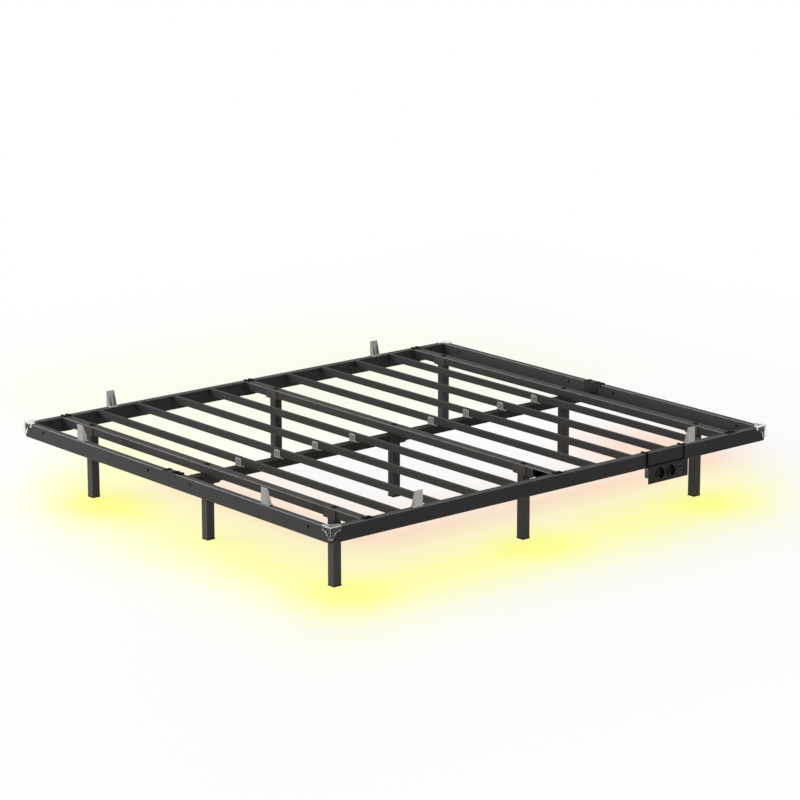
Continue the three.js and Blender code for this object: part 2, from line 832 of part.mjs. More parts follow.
// The face plate, bevelled round its front, with a window for each insert and two screw holes.
function facePlate() {
  const endBevel = {
    depth: panelSheet - panelBevel,
    bevelThickness: panelBevel,
    bevelSize: panelBevel,
    bevelOffset: -panelBevel,
    bevelSegments: 1,
  };
  const outline = new THREE.Shape();
  outline.moveTo(-panelLength / 2, panelMiddle - panelHeight / 2);
  outline.lineTo(panelLength / 2, panelMiddle - panelHeight / 2);
  outline.lineTo(panelLength / 2, panelMiddle + panelHeight / 2);
  outline.lineTo(-panelLength / 2, panelMiddle + panelHeight / 2);
  const slab = laidAlong("x", new THREE.ExtrudeGeometry(outline, endBevel));
  slab.translate(panelBack, 0, 0);
  const behind = [panelBack - cutOverrun, panelBack];
  let panel = solid(slab)
    .subtract(block(behind, about(0, 2 * panelLength), about(panelMiddle, 2 * panelHeight)));
  const through = [panelBack - cutOverrun, panelFront + cutOverrun];
  for (const place of socketPlaces) {
    const size = moduleSize + 2 * clearance;
    panel = panel.subtract(block(through, about(place, size), about(panelMiddle, size)));
  }
  const usbWindow = about(usbPlace, usbWidth + 2 * clearance);
  panel = panel.subtract(block(through, usbWindow, about(panelMiddle, usbHeight + 2 * clearance)));
  const screwPlace = panelLength / 2 - panelScrewInset;
  for (const place of [-screwPlace, screwPlace]) {
    panel = panel.subtract(rod("x", panelScrewHole, through, [0, place, panelMiddle]));
  }
  return panel;
}

// A mains socket insert: a square front and a round well with two pin holes in its floor.
function mainsSocket() {
  const front = panelFront + moduleRise;
  const square = about(0, moduleSize);
  const wellFloor = front - wellDepth;
  const barrel = wellDiameter + 2 * wellWall;
  let insert = block([panelBack - moduleBack, front], square, square)
    .add(rod("x", barrel, [wellFloor - wellWall, panelBack], [0, 0, 0], wellSides))
    .subtract(rod("x", wellDiameter, [wellFloor, front + cutOverrun], [0, 0, 0], wellSides));
  for (const side of [-1, 1]) {
    const hole = [wellFloor - wellWall - cutOverrun, wellFloor + cutOverrun];
    insert = insert.subtract(rod("x", pinHole, hole, [0, (side * pinSpacing) / 2, 0]));
  }
  return insert;
}

// The charger insert: a block with a large port that has a tongue and a small port below it.
function usbSocket() {
  const front = panelFront + moduleRise;
  const ahead = front + cutOverrun;
  const portSpace = (depth, [width, height], rise) =>
    block([front - depth, ahead], about(0, width), about(rise, height));
  const [tongueWidth, tongueHeight] = usbTongue;
  const tongue = block(
    [front - usbBigDepth - moduleRise, front - moduleRise],
    about(0, tongueWidth),
    about(usbPortRise, tongueHeight),
  );
  return block([panelBack - usbBack, front], about(0, usbWidth), about(0, usbHeight))
    .subtract(portSpace(usbBigDepth, usbBigPort, usbPortRise))
    .subtract(portSpace(usbSmallDepth, usbSmallPort, -usbPortDrop))
    .add(tongue);
}

function addSocketUnit() {
  const unit = new THREE.Group();
  unit.position.set(halfWidth, unitPlace, bedHeight);
  bed.add(unit);
  piece(unit, "socket_hanger", socketHanger(), blackPaint);
  piece(unit, "socket_back_box", backBox(), panelPlastic);
  piece(unit, "socket_face_plate", facePlate(), panelPlastic);
  socketPlaces.forEach((place, i) => {
    const socket = piece(unit, `mains_socket_${i + 1}`, mainsSocket(), socketPlastic);
    socket.position.set(0, place, panelMiddle);
  });
  piece(unit, "usb_socket", usbSocket(), socketPlastic).position.set(0, usbPlace, panelMiddle);
}

addRails();
addCorners();
addCrossbeams();
addCentreBeam();
addSlats();
addLegs();
addRetainers();
addLightStrip();
addSocketUnit();

export default bed;
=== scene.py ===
"""Looks for a low black metal double bed with a light strip and a hook-on socket unit.

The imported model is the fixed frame: each new piece takes its place from a node's box. Each operator
makes one piece or one group of like pieces, and the panel lists them all.
"""

import json
import math

import bmesh
import bpy
from mathutils import Matrix, Vector


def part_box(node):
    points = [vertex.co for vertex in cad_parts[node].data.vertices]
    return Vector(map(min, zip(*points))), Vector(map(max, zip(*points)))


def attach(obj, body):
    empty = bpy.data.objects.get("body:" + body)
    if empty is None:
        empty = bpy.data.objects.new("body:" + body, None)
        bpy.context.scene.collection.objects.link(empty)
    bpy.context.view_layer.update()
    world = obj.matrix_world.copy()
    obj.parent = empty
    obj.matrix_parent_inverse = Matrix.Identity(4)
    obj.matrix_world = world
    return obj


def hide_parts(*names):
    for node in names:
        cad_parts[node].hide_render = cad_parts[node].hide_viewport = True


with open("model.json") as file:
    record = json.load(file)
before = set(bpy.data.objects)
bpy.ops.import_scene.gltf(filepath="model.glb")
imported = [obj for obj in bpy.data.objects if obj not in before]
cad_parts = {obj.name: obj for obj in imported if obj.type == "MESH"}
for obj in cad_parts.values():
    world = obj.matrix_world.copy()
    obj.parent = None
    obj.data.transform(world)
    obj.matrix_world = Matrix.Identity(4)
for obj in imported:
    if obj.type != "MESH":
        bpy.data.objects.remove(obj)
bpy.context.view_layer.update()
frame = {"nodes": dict(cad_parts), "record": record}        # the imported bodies, nodes, joints and record

bl_info = {
    "name": "Metal double bed looks",
    "version": (1, 0, 0),
    "blender": (4, 5, 0),
    "location": "View3D > Sidebar > Bed",
    "description": "Finishes, small fittings and stage of a low metal double bed",
    "category": "Object",
}

FRAME_BODY = "bed_frame"
UNIT_BODY = "socket_unit"
MM = 0.001
IN_MM = Matrix.Scale(MM, 4)
SIGNS = (-1, 1)
WHITE = (1.0, 1.0, 1.0, 1.0)
BLACK = (0.0, 0.0, 0.0, 1.0)


# Places

def middle(node):
    low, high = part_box(node)
    return (low + high) / 2


def mm(*parts):
    return tuple(part * MM for part in parts)


def move(x, y, z):
    return Matrix.Translation((x, y, z))


def turn(axis, degrees=90.0):
    return Matrix.Rotation(math.radians(degrees), 4, axis)


def around(centre, size):
    """The span on each axis of a block of that size."""
    return [(place - part / 2, place + part / 2) for place, part in zip(centre, size)]


RAIL_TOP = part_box("foot_rail_left")[1].z
HALF_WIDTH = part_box("right_rail_foot")[1].x
HALF_LENGTH = -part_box("foot_rail_left")[0].y
RAIL_THICKNESS = HALF_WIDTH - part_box("right_rail_head")[0].x
ENDS = {"foot": -1, "head": 1}
LEG_ROWS = ("foot", "middle", "head")
LEGS = [f"leg_{row}_{column}" for row in LEG_ROWS for column in ("left", "centre", "right")]

# A frame on each rail's outer top edge, with x along the rail, y inwards and z up
RAIL_FRAMES = {
    "foot": move(0, -HALF_LENGTH, RAIL_TOP),
    "right": move(HALF_WIDTH, 0, RAIL_TOP) @ turn("Z"),
    "head": move(0, HALF_LENGTH, RAIL_TOP) @ turn("Z", 180.0),
    "left": move(-HALF_WIDTH, 0, RAIL_TOP) @ turn("Z", -90.0),
}


# Sizes and colours that a user may change

def length(name, description, millimetres):
    return bpy.props.FloatProperty(
        name=name, description=description, default=millimetres * MM, min=0.0, unit="LENGTH",
        precision=5)


def linear(*screen):
    """A colour given in the numbers of a screen, from 0 to 255, as the light that Blender uses."""
    shares = [value / 255 for value in screen]
    return (*(share / 12.92 if share < 0.04045 else ((share + 0.055) / 1.055) ** 2.4
              for share in shares), 1.0)


def colour(name, description, *screen):
    return bpy.props.FloatVectorProperty(
        name=name, description=description, default=linear(*screen), size=4, min=0.0, max=1.0,
        subtype="COLOR")


def power(name, description, default):
    return bpy.props.FloatProperty(
        name=name, description=description, default=default, min=0.0, unit="POWER")


def factor(name, description, default):
    return bpy.props.FloatProperty(
        name=name, description=description, default=default, min=0.0, max=1.0, subtype="FACTOR")


class BedFittingSizes(bpy.types.PropertyGroup):
    """Sizes of the small fittings."""
    bolt_head: length("Bolt head", "Diameter of the rail bolts' round heads", 11)
    bolt_rise: length("Bolt head rise", "Height of the rail bolts' heads", 3)
    bolt_socket: length("Bolt socket", "Width of the hexagon socket across its flats", 4)
    beam_cap: length("Beam cap", "Diameter of the caps on the beams above the legs", 23)
    beam_cap_rise: length("Beam cap rise", "Height of the caps above the beam", 2.6)
    foot_cap: length("Foot cap height", "Height of each leg's cap", 6)
    foot_cap_wall: length("Foot cap wall", "How far the cap stands out from the leg", 0.25)
    sleeve: length("Sleeve", "Thickness of the sleeves on hooks, pads and bands", 0.4)
    weld_bead: length("Weld bead", "Width of the weld beads", 3.4)
    light_pitch: length("Light pitch", "Distance between two lights of the strip", 25)
    soft_edge: length("Soft edge", "Rounding of the moulded pieces' edges", 0.8)
    guard_edge: length("Guard edge", "Rounding of the corner guards' edges", 1.9)


class BedColours(bpy.types.PropertyGroup):
    """Colours of the finishes."""
    frame_paint: colour("Frame paint", "Powder coat of the rails", 57, 56, 56)
    beam_paint: colour("Beam paint", "Powder coat of the crossbeams", 53, 51, 50)
    slat_paint: colour("Slat paint", "Powder coat of the slats", 50, 49, 48)
    # The centre beam's colour is darker than the rails' as painted shade under the slats.
    centre_paint: colour("Centre paint", "Powder coat of the centre beam", 45, 44, 43)
    leg_paint: colour("Leg paint", "Powder coat of the legs", 64, 61, 60)
    grey_plastic: colour("Grey plastic", "Slat clips", 158, 157, 154)
    # The clips' hollows are darker as painted shade.
    recess_plastic: colour("Recess plastic", "Hollows of the slat clips", 112, 110, 106)
    retainer_plastic: colour("Retainer plastic", "Mattress retainers", 228, 226, 222)
    clear_plastic: colour("Clear plastic", "Corner guards", 244, 246, 248)
    panel_plastic: colour("Panel plastic", "Face plate and box", 44, 42, 43)
    socket_plastic: colour("Socket plastic", "Socket inserts", 40, 38, 39)
    # This black also colours the strip of painted shadow above the face plate.
    ring_plastic: colour("Ring plastic", "Rims, sleeves and gasket", 6, 6, 6)
    cap_plastic: colour("Cap plastic", "Beam caps, bolts and buttons", 20, 20, 20)
    foot_plastic: colour("Foot plastic", "Foot caps", 48, 45, 44)
    # The wells' floors are lighter than the socket inserts as painted light in the deep wells.
    well_plastic: colour("Well plastic", "Floors of the sockets' wells", 58, 56, 56)
    port_plastic: colour("Port plastic", "Tongue of the large port", 34, 33, 33)
    pale_plastic: colour("Pale plastic", "Pilot light", 150, 150, 146)
    joiner_steel: colour("Joiner steel", "Joiners inside the corners", 172, 174, 178)
    contact_metal: colour("Contact metal", "Earth clips", 226, 222, 214)
    strip_sleeve: colour("Strip sleeve", "Sleeve of the light strip", 96, 92, 66)
    strip_light: colour("Strip light", "Lights of the strip, unlit", 96, 92, 66)
    glow: colour("Light", "Light of the strip and its glow on the floor", 255, 255, 176)
    warm_glow: colour("Warm light", "Glow between the two others", 255, 246, 190)
    inner_glow: colour("Inner light", "Glow on the floor under the bed", 255, 227, 203)


class BedStageSettings(bpy.types.PropertyGroup):
    """Lamps of the stage."""
    key_power: power("Key light", "Power of the lamp at the foot and left", 510.0)
    top_power: power("Top light", "Power of the lamp overhead", 25.0)
    fill_power: power("Fill light", "Power of the lamp at the right", 45.0)
    strip_power: power("Strip light", "Power of the light strip along each rail", 1.2)
    ambient: factor("Ambient", "Even light from all round", 0.3)
    floor_share: factor("Floor share", "How much light the floor gives back", 0.5)
    shadow_share: factor("Shadow share", "How much of the floor's brightness a shadow takes", 0.08)


# Shader maths

def shader_maths(operation, swapped=False):
    """An operator of Wire, which adds a Math node."""
    def apply(self, other):
        return self.graph.maths(operation, *((other, self) if swapped else (self, other)))
    return apply


class Wire:
    """A shader value. Python arithmetic on it adds Math nodes."""
    __add__ = __radd__ = shader_maths("ADD")
    __mul__ = __rmul__ = shader_maths("MULTIPLY")
    __sub__ = shader_maths("SUBTRACT")
    __rsub__ = shader_maths("SUBTRACT", True)
    __truediv__ = shader_maths("DIVIDE")
    __rtruediv__ = shader_maths("DIVIDE", True)

    def __init__(self, graph, socket):
        self.graph = graph
        self.socket = socket


class Graph:
    """The node tree of a material or world. Node types are named without their ShaderNode."""

    def __init__(self, owner):
        owner.use_nodes = True
        self.owner = owner
        self.tree = owner.node_tree
        self.tree.nodes.clear()

    def node(self, kind, values=None, settings=None, output=0):
        made = self.tree.nodes.new("ShaderNode" + kind)
        for name, value in (settings or {}).items():
            if name == "stops":
                self.set_stops(made.color_ramp, value)
            else:
                setattr(made, name, value)
        for name, value in (values or {}).items():
            if isinstance(value, Wire):
                self.tree.links.new(value.socket, made.inputs[name])
            else:
                made.inputs[name].default_value = value
        return Wire(self, made.outputs[output]) if made.outputs else made

    @staticmethod
    def set_stops(ramp, stops):
        while len(ramp.elements) < len(stops):
            ramp.elements.new(1.0)
        for element, (place, value) in zip(ramp.elements, stops):
            element.position = place
            element.color = value

    def finish(self, shader, kind="OutputMaterial"):
        """Gives the tree its output, and gives back the material or world."""
        self.node(kind, {"Surface": shader})
        return self.owner

    def maths(self, operation, *parts):
        return self.node("Math", dict(enumerate(parts)), {"operation": operation})

    def mix(self, share, first, second, blend="MIX"):
        settings = {"data_type": "RGBA", "blend_type": blend}
        return self.node("Mix", {0: share, 6: first, 7: second}, settings, 2)

    def places(self):
        return self.node("TexCoord", output="Object")

    def axes(self, vector, names="XYZ"):
        return [self.node("SeparateXYZ", {"Vector": vector}, None, name) for name in names]

    def normals(self, kind="True Normal", names="XYZ"):
        return self.axes(self.node("NewGeometry", output=kind), names)

    def noise(self, scale, detail=2.0, roughness=0.5, vector=None):
        values = {"Scale": scale, "Detail": detail, "Roughness": roughness}
        values["Vector"] = vector or self.places()
        return self.node("TexNoise", values, None, "Fac")

    def smooth(self, value, low, high):
        """From 0 at low to 1 at high, with soft ends."""
        settings = {"interpolation_type": "SMOOTHSTEP"}
        return self.node("MapRange", {"Value": value, "From Min": low, "From Max": high}, settings)

    def patches(self, noise, span):
        return self.smooth(self.noise(*noise), *span)

    def tones(self, base, noise, gains):
        return self.mix(self.noise(*noise), *(scaled(base, gain) for gain in gains))

    def edge_wear(self):
        """1 on the rounded upper corners of the tubes, between their tops and their sides, in patches: the
        mask of a painted highlight.
        """
        x, y, z = self.normals("Normal")
        most = self.maths("MAXIMUM", self.maths("MAXIMUM", x * x, y * y), z * z)
        patchy = self.patches(*EDGE_HIGHLIGHT_PATCHES)
        round_share = 1 - self.smooth(most, *FLAT)
        upper = self.smooth(z, *UPWARDS)
        return round_share * upper * (patchy * (1 - EVEN_HIGHLIGHT) + EVEN_HIGHLIGHT)

    def seen(self):
        """1 where a ray comes from the camera or out of a glossy or clear surface."""
        camera, glossy, clear = (self.node("LightPath", output=f"Is {way} Ray")
                                 for way in ("Camera", "Glossy", "Transmission"))
        return self.maths("MAXIMUM", self.maths("MAXIMUM", camera, glossy), clear)

    def spot(self, x, y, centre, reach):
        """A round patch of the floor, 1 inside and 0 outside its two radii."""
        east = x - centre[0]
        north = y - centre[1]
        return 1 - self.smooth(self.maths("SQRT", east * east + north * north), *reach)

    def bump(self, height, distance, strength):
        values = {"Height": height, "Distance": distance, "Strength": strength}
        return self.node("Bump", values)

    def surface(self, values):
        """Finishes the tree with one Principled shader."""
        return self.finish(self.node("BsdfPrincipled", values))


# Finishes

# Noises: scale, detail and roughness. A patch also has the noise at which it starts and is whole,
# and a tone the two gains between which it takes the colour.
COAT_TONE = ((7.0, 3.0, 0.6), (0.82, 1.25))
RUBBED = ((14.0, 4.0, 0.65), (0.35, 0.7))
EDGE_HIGHLIGHT_PATCHES = ((23.0, 3.0, 0.6), (0.25, 0.6))
SPECKS = ((420.0, 2.0, 0.7), (0.62, 0.78))
PEEL = (650.0, 3.0, 0.55)
MOULD_TONE = ((38.0, 4.0, 0.6), (0.9, 1.08))
MOULD_GRAIN = (1500.0, 2.0, 0.6)
CLEAR_HAZE = (90.0, 3.0, 0.6)
CLEAR_RIPPLE = (120.0, 2.0)
METAL_TONE = ((120.0, 4.0, 0.7), (0.82, 1.0))
DRAWN_LINES = (1.0, 3.0, 0.6)
DRAWN_STRETCH = 30
GLOW_TONE = ((200.0, 2.0), (0.92, 1.0))

# Bumps: depth and strength. The grains of moulded pieces share one strength.
PEEL_BUMP = (0.12 * MM, 0.5)
CLEAR_BUMP = (0.05 * MM, 0.25)
DRAWN_BUMP = (0.05 * MM, 0.3)
FINE_GRAIN = 0.03 * MM
GRAIN = 0.06 * MM
COARSE_GRAIN = 0.08 * MM
PANEL_GRAIN = 0.1 * MM
GRAIN_STRENGTH = 0.6

# How far a finish's roughness goes up and down with its noises
PEEL_ROUGHNESS = 0.1
RUBBED_POLISH = 0.06
GRAIN_ROUGHNESS = 0.12
HAZE_ROUGHNESS = 0.05
DRAWN_ROUGHNESS = 0.12

# The lighter specks in the powder coat, and how much they cover
SPECK_GAIN = 2.4
SPECK_SHARE = 0.2

# Spans of a face's normal: its largest part squared from round to flat, its turn upwards from
# below, and its turn to the foot
FLAT = (0.93, 0.99)
UPWARDS = (-0.05, 0.25)
FOOTWARDS = (0.5, 0.9)

# The share of the painted edge highlight that is there even between its patches
EVEN_HIGHLIGHT = 0.5

# The places along the bed between which the centre beam goes from its darker colour, painted shade under
# the slats, to the lighter colour near the foot, painted light
LIT_END_SPAN = (0.82, 0.99)

# The painted highlights on the edges of clear plastic: their colours, the spans of the normal that set
# apart the faces upright, at the corners and on the upper rounding, and how strong corners and tops are
PAINTED_EDGE_LIGHT = (linear(176, 178, 180), linear(232, 234, 236))
UPRIGHT_END = (0.05, 0.25)
CORNER = (0.7, 0.95)
TOP_START = (0.3, 0.5)
TOP_END = (0.93, 0.98)
CORNER_SHARE = 0.5
TOP_SHARE = 0.8


def scaled(base, gain):
    return [min(1.0, part * gain) for part in base[:3]] + [1.0]


def powder_coat(name, base, highlight_gain=7.0, lit_end_base=None):
    """Fine powder coat: an orange-peel skin, small specks, a painted highlight on the rounded upper edges
    and a slow change of tone. The gain after the colour says how much lighter the painted edge highlight
    is. The colour after that, if any, is the one near the foot rail: there the centre beam is painted
    lighter, as painted light, and under the slats its darker colour is painted shade."""
    graph = Graph(bpy.data.materials.new(name))
    tone = graph.tones(base, *COAT_TONE)
    # Painted light and shade: the centre beam is lighter towards its foot end than under the slats.
    if lit_end_base:
        along, = graph.axes(graph.places(), "Y")
        tone = graph.mix(graph.smooth(0 - along, *LIT_END_SPAN), tone, lit_end_base)
    # Painted highlight: the rounded upper edges are made much lighter.
    tone = graph.mix(graph.edge_wear(), tone, scaled(base, highlight_gain))
    speck = graph.patches(*SPECKS)
    peel = graph.noise(*PEEL)
    patchy = graph.patches(*RUBBED)
    return graph.surface({
        "Base Color": graph.mix(speck * SPECK_SHARE, tone, scaled(base, SPECK_GAIN)),
        "Roughness": 0.5 + peel * PEEL_ROUGHNESS - patchy * RUBBED_POLISH,
        "Specular IOR Level": 0.1,
        "Normal": graph.bump(peel, *PEEL_BUMP),
    })


def moulded(name, base, roughness, grain, level, shaded_foot_share=1.0):
    """Moulded plastic with a fine grain and faint flow marks. The share after the level, below 1, darkens
    the faces towards the foot as painted shade."""
    graph = Graph(bpy.data.materials.new(name))
    tone = graph.tones(base, *MOULD_TONE)
    # Painted shade: the faces towards the foot are darker.
    if shaded_foot_share < 1.0:
        along, = graph.normals(names="Y")
        facing = graph.smooth(0 - along, *FOOTWARDS)
        tone = graph.mix(facing * (1.0 - shaded_foot_share), tone, BLACK)
    skin = graph.noise(*MOULD_GRAIN)
    return graph.surface({
        "Base Color": tone,
        "Roughness": roughness + skin * GRAIN_ROUGHNESS - GRAIN_ROUGHNESS / 2,
        "Specular IOR Level": level,
        "Normal": graph.bump(skin, grain, GRAIN_STRENGTH),
    })


def clear_moulded(name, base):
    """Clear soft plastic with a faint ripple, whose upper and outer edges are mixed towards a light opaque
    shader as a painted highlight.
    """
    graph = Graph(bpy.data.materials.new(name))
    haze = graph.noise(*CLEAR_HAZE)
    clear = graph.node("BsdfPrincipled", {
        "Base Color": base,
        "Roughness": 0.02 + haze * HAZE_ROUGHNESS,
        "IOR": 1.15,
        "Transmission Weight": 1.0,
        "Normal": graph.bump(graph.noise(*CLEAR_RIPPLE), *CLEAR_BUMP),
    })
    # Painted highlight: a light, opaque shader for the edges.
    lit = graph.node("BsdfPrincipled", {
        "Base Color": graph.mix(haze, *PAINTED_EDGE_LIGHT),
        "Roughness": 0.35,
    })
    x, y, z = graph.normals()
    upright = 1 - graph.smooth(graph.maths("ABSOLUTE", z), *UPRIGHT_END)
    corner = graph.smooth(graph.maths("ABSOLUTE", x * y) * 2, *CORNER) * upright
    top = graph.smooth(z, *TOP_START) * (1 - graph.smooth(z, *TOP_END))
    edge = graph.maths("MAXIMUM", corner * CORNER_SHARE, top * TOP_SHARE)
    return graph.finish(graph.node("MixShader", {0: edge, 1: clear, 2: lit}))


def bare_metal(name, base, roughness, line_scale):
    """Plated metal with drawn lines."""
    graph = Graph(bpy.data.materials.new(name))
    lines = graph.node("Mapping", {
        "Vector": graph.places(), "Scale": (line_scale, line_scale, line_scale / DRAWN_STRETCH)})
    drawn = graph.noise(*DRAWN_LINES, lines)
    return graph.surface({
        "Base Color": graph.tones(base, *METAL_TONE),
        "Metallic": 1.0,
        "Roughness": roughness + drawn * DRAWN_ROUGHNESS,
        "Normal": graph.bump(drawn, *DRAWN_BUMP),
    })


def lit_plastic(name, base, light, strength):
    """Plastic that glows evenly, with a faint ripple."""
    graph = Graph(bpy.data.materials.new(name))
    return graph.surface({
        "Base Color": graph.tones(base, *GLOW_TONE),
        "Roughness": 0.35,
        "Emission Color": light,
        "Emission Strength": strength,
    })


# Each finish's maker and its values after the name and colour. Words are names of more colours.
FINISHES = {
    "frame_paint": (powder_coat,),
    "beam_paint": (powder_coat,),
    "slat_paint": (powder_coat, 1.2),
    "centre_paint": (powder_coat, 2.0, "frame_paint"),
    "leg_paint": (powder_coat, 1.2),
    "grey_plastic": (moulded, 0.5, GRAIN, 0.3),
    "recess_plastic": (moulded, 0.55, GRAIN, 0.2),
    "retainer_plastic": (moulded, 0.55, GRAIN, 0.3, 0.41),
    "clear_plastic": (clear_moulded,),
    "panel_plastic": (moulded, 0.55, PANEL_GRAIN, 0.15),
    "socket_plastic": (moulded, 0.45, FINE_GRAIN, 0.3),
    "ring_plastic": (moulded, 0.6, FINE_GRAIN, 0.04),
    "cap_plastic": (moulded, 0.6, COARSE_GRAIN, 0.1),
    "foot_plastic": (moulded, 0.6, COARSE_GRAIN, 0.1),
    "well_plastic": (moulded, 0.6, FINE_GRAIN, 0.1),
    "port_plastic": (moulded, 0.5, FINE_GRAIN, 0.2),
    "pale_plastic": (moulded, 0.4, FINE_GRAIN, 0.5),
    "joiner_steel": (bare_metal, 0.35, 900.0),
    "contact_metal": (bare_metal, 0.22, 1400.0),
    "strip_sleeve": (lit_plastic, "glow", 0.02),
    "strip_light": (lit_plastic, "glow", 0.9),
}


def finish(name):
    """A material of the bed by name, made once."""
    made = bpy.data.materials.get(name + "_finish")
    if made:
        return made
    colours = bpy.context.scene.bed_colours
    make, *values = FINISHES[name]
    return make(name + "_finish", *(getattr(colours, value) if isinstance(value, str) else value
                                    for value in (name, *values)))


# Mesh helpers

MERGE = 0.02 * MM
FLAT_TURN = math.radians(1.0)
SOFT_SMOOTH = 20.0


def edges_of(verts):
    """The edges whose two ends are both in verts."""
    inside = set(verts)
    return [e for e in {e for v in verts for e in v.link_edges} if inside.issuperset(e.verts)]


def rounded(bm, edges, offset, segments=2):
    if offset > 0:
        bmesh.ops.bevel(
            bm, geom=edges, offset=offset, offset_type="OFFSET", affect="EDGES",
            segments=segments, profile=0.5, material=-1, clamp_overlap=True)


def slab(bm, x, y, z, edge=0.0):
    """A block between two places on each axis, with rounded edges."""
    low, high = (Vector(ends) for ends in zip(*(sorted(span) for span in (x, y, z))))
    place = Matrix.Translation((low + high) / 2) @ Matrix.Diagonal((*(high - low), 1.0))
    verts = bmesh.ops.create_cube(bm, size=1.0, matrix=place)["verts"]
    rounded(bm, edges_of(verts), edge)


def prism(bm, outline, span, axis, edge=0.0):
    """A flat outline pushed along x or y. Its points are (y, z) or (x, z)."""
    def placed(a, b, c):
        return Vector((c, a, b) if axis == "x" else (a, c, b))
    verts = [bm.verts.new(placed(a, b, span[0])) for a, b in outline]
    base = bm.faces.new(verts)
    pushed = bmesh.ops.extrude_face_region(bm, geom=[base])["geom"]
    moved = [v for v in pushed if isinstance(v, bmesh.types.BMVert)]
    bmesh.ops.translate(bm, vec=placed(0, 0, span[1] - span[0]), verts=moved)
    rounded(bm, edges_of(verts + moved), edge)


def arc(centre, radius, start, end, steps):
    """Points on an arc, in degrees."""
    turns = [math.radians(start + (end - start) * i / steps) for i in range(steps + 1)]
    return [(centre[0] + radius * math.cos(t), centre[1] + radius * math.sin(t)) for t in turns]


def turned(bm, rings, segments=24, place=Matrix.Identity(4)):
    """A closed body about z through rings of (radius, height). A radius may be a function."""
    def shape(verts, radius, height):
        for v in verts:
            angle = math.atan2(v.co.y, v.co.x)
            r = radius(angle) if callable(radius) else radius
            v.co = (r * math.cos(angle), r * math.sin(angle), height)
    made = bmesh.ops.create_circle(bm, cap_ends=True, segments=segments, radius=1.0)["verts"]
    every = list(made)
    shape(made, *rings[0])
    edges = edges_of(made)
    for ring in rings[1:]:
        pushed = bmesh.ops.extrude_edge_only(bm, edges=edges)["geom"]
        made = [v for v in pushed if isinstance(v, bmesh.types.BMVert)]
        edges = [e for e in pushed if isinstance(e, bmesh.types.BMEdge)]
        shape(made, *ring)
        every += made
    bmesh.ops.contextual_create(bm, geom=edges)
    bmesh.ops.transform(bm, matrix=place, verts=every)
    return bm


def hexagon(across):
    """The radius of a hexagon, of that width across its flats, at an angle."""
    sixth = math.pi / 3
    return lambda angle: across / 2 / math.cos((angle % sixth) - sixth / 2)


def copied(source, places):
    """One mesh with a copy of the source mesh at each place."""
    pattern = bpy.data.meshes.new("pattern")
    source.to_mesh(pattern)
    source.free()
    bm = bmesh.new()
    for place in places:
        before = len(bm.verts)
        bm.from_mesh(pattern)
        bm.verts.ensure_lookup_table()
        bmesh.ops.transform(bm, matrix=place, verts=bm.verts[before:])
    bpy.data.meshes.remove(pattern)
    return bm


def node_copy(node, edge, segments=2, sharp=30.0):
    """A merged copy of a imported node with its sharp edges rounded."""
    bm = bmesh.new()
    bm.from_mesh(frame["nodes"][node].data)
    bmesh.ops.remove_doubles(bm, verts=bm.verts, dist=MERGE)
    bmesh.ops.dissolve_limit(bm, angle_limit=FLAT_TURN, verts=bm.verts, edges=bm.edges,
                             use_dissolve_boundaries=False, delimit=set())
    limit = math.radians(sharp)
    rounded(bm, [e for e in bm.edges if e.calc_face_angle(0.0) > limit], edge, segments)
    return bm


def new_object(name, data):
    made = bpy.data.objects.new(name, data)
    bpy.context.scene.collection.objects.link(made)
    return made


def add_piece(bm, name, body, material, stands_for=(), smooth=35.0):
    """Makes a mesh object of a bmesh, whose place is in its mesh, and lets it ride on a body."""
    bmesh.ops.recalc_face_normals(bm, faces=bm.faces)
    mesh = bpy.data.meshes.new(name)
    bm.to_mesh(mesh)
    bm.free()
    mesh.shade_smooth()
    mesh.set_sharp_from_angle(angle=math.radians(smooth))
    mesh.materials.append(finish(material))
    piece = new_object(name, mesh)
    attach(piece, body)
    if stands_for:
        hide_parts(*stands_for)


# Small fastener shapes

# Rings of a head and heights of its hexagon socket, as shares of its radius and rise
BOLT_SHARES = ((1.0, 0.0), (1.0, 0.25), (0.9, 0.68), (0.66, 1.0))
BOLT_SOCKET_SHARES = (1.0, 0.3)
# Heights of the painted shade in a bolt's socket, as shares of its rise
SOCKET_SHADE_SHARES = (0.2, 0.85)
CAP_SHARES = ((1.0, 0.0), (1.0, 0.45), (0.95, 0.8), (0.86, 1.0), (0.62, 1.0), (0.56, 0.72))
CAP_SOCKET_SHARES = (0.72, 0.2)
CAP_SOCKET_SHARE = 0.31


def head(width, rise, shares, socket, socket_shares, segments=24):
    """A round head on z = 0, with a hexagon socket."""
    rings = [(width / 2 * wide, rise * high) for wide, high in shares]
    rings += [(hexagon(socket), rise * high) for high in socket_shares]
    return turned(bmesh.new(), rings, segments)


def button_bolt(sizes):
    return head(sizes.bolt_head, sizes.bolt_rise, BOLT_SHARES, sizes.bolt_socket,
                BOLT_SOCKET_SHARES)


def socket_shade(sizes):
    """A dark disc in a bolt head's socket, as painted shade."""
    return turned(bmesh.new(), [(sizes.bolt_socket / 2, sizes.bolt_rise * high)
                                for high in SOCKET_SHADE_SHARES], 12)


def beam_cap(sizes):
    return head(sizes.beam_cap, sizes.beam_cap_rise, CAP_SHARES,
                CAP_SOCKET_SHARE * sizes.beam_cap, CAP_SOCKET_SHARES, 36)


# Operators

class BedOperator(bpy.types.Operator):
    """Shared by the operators of the bed."""
    bl_options = {"REGISTER", "UNDO"}


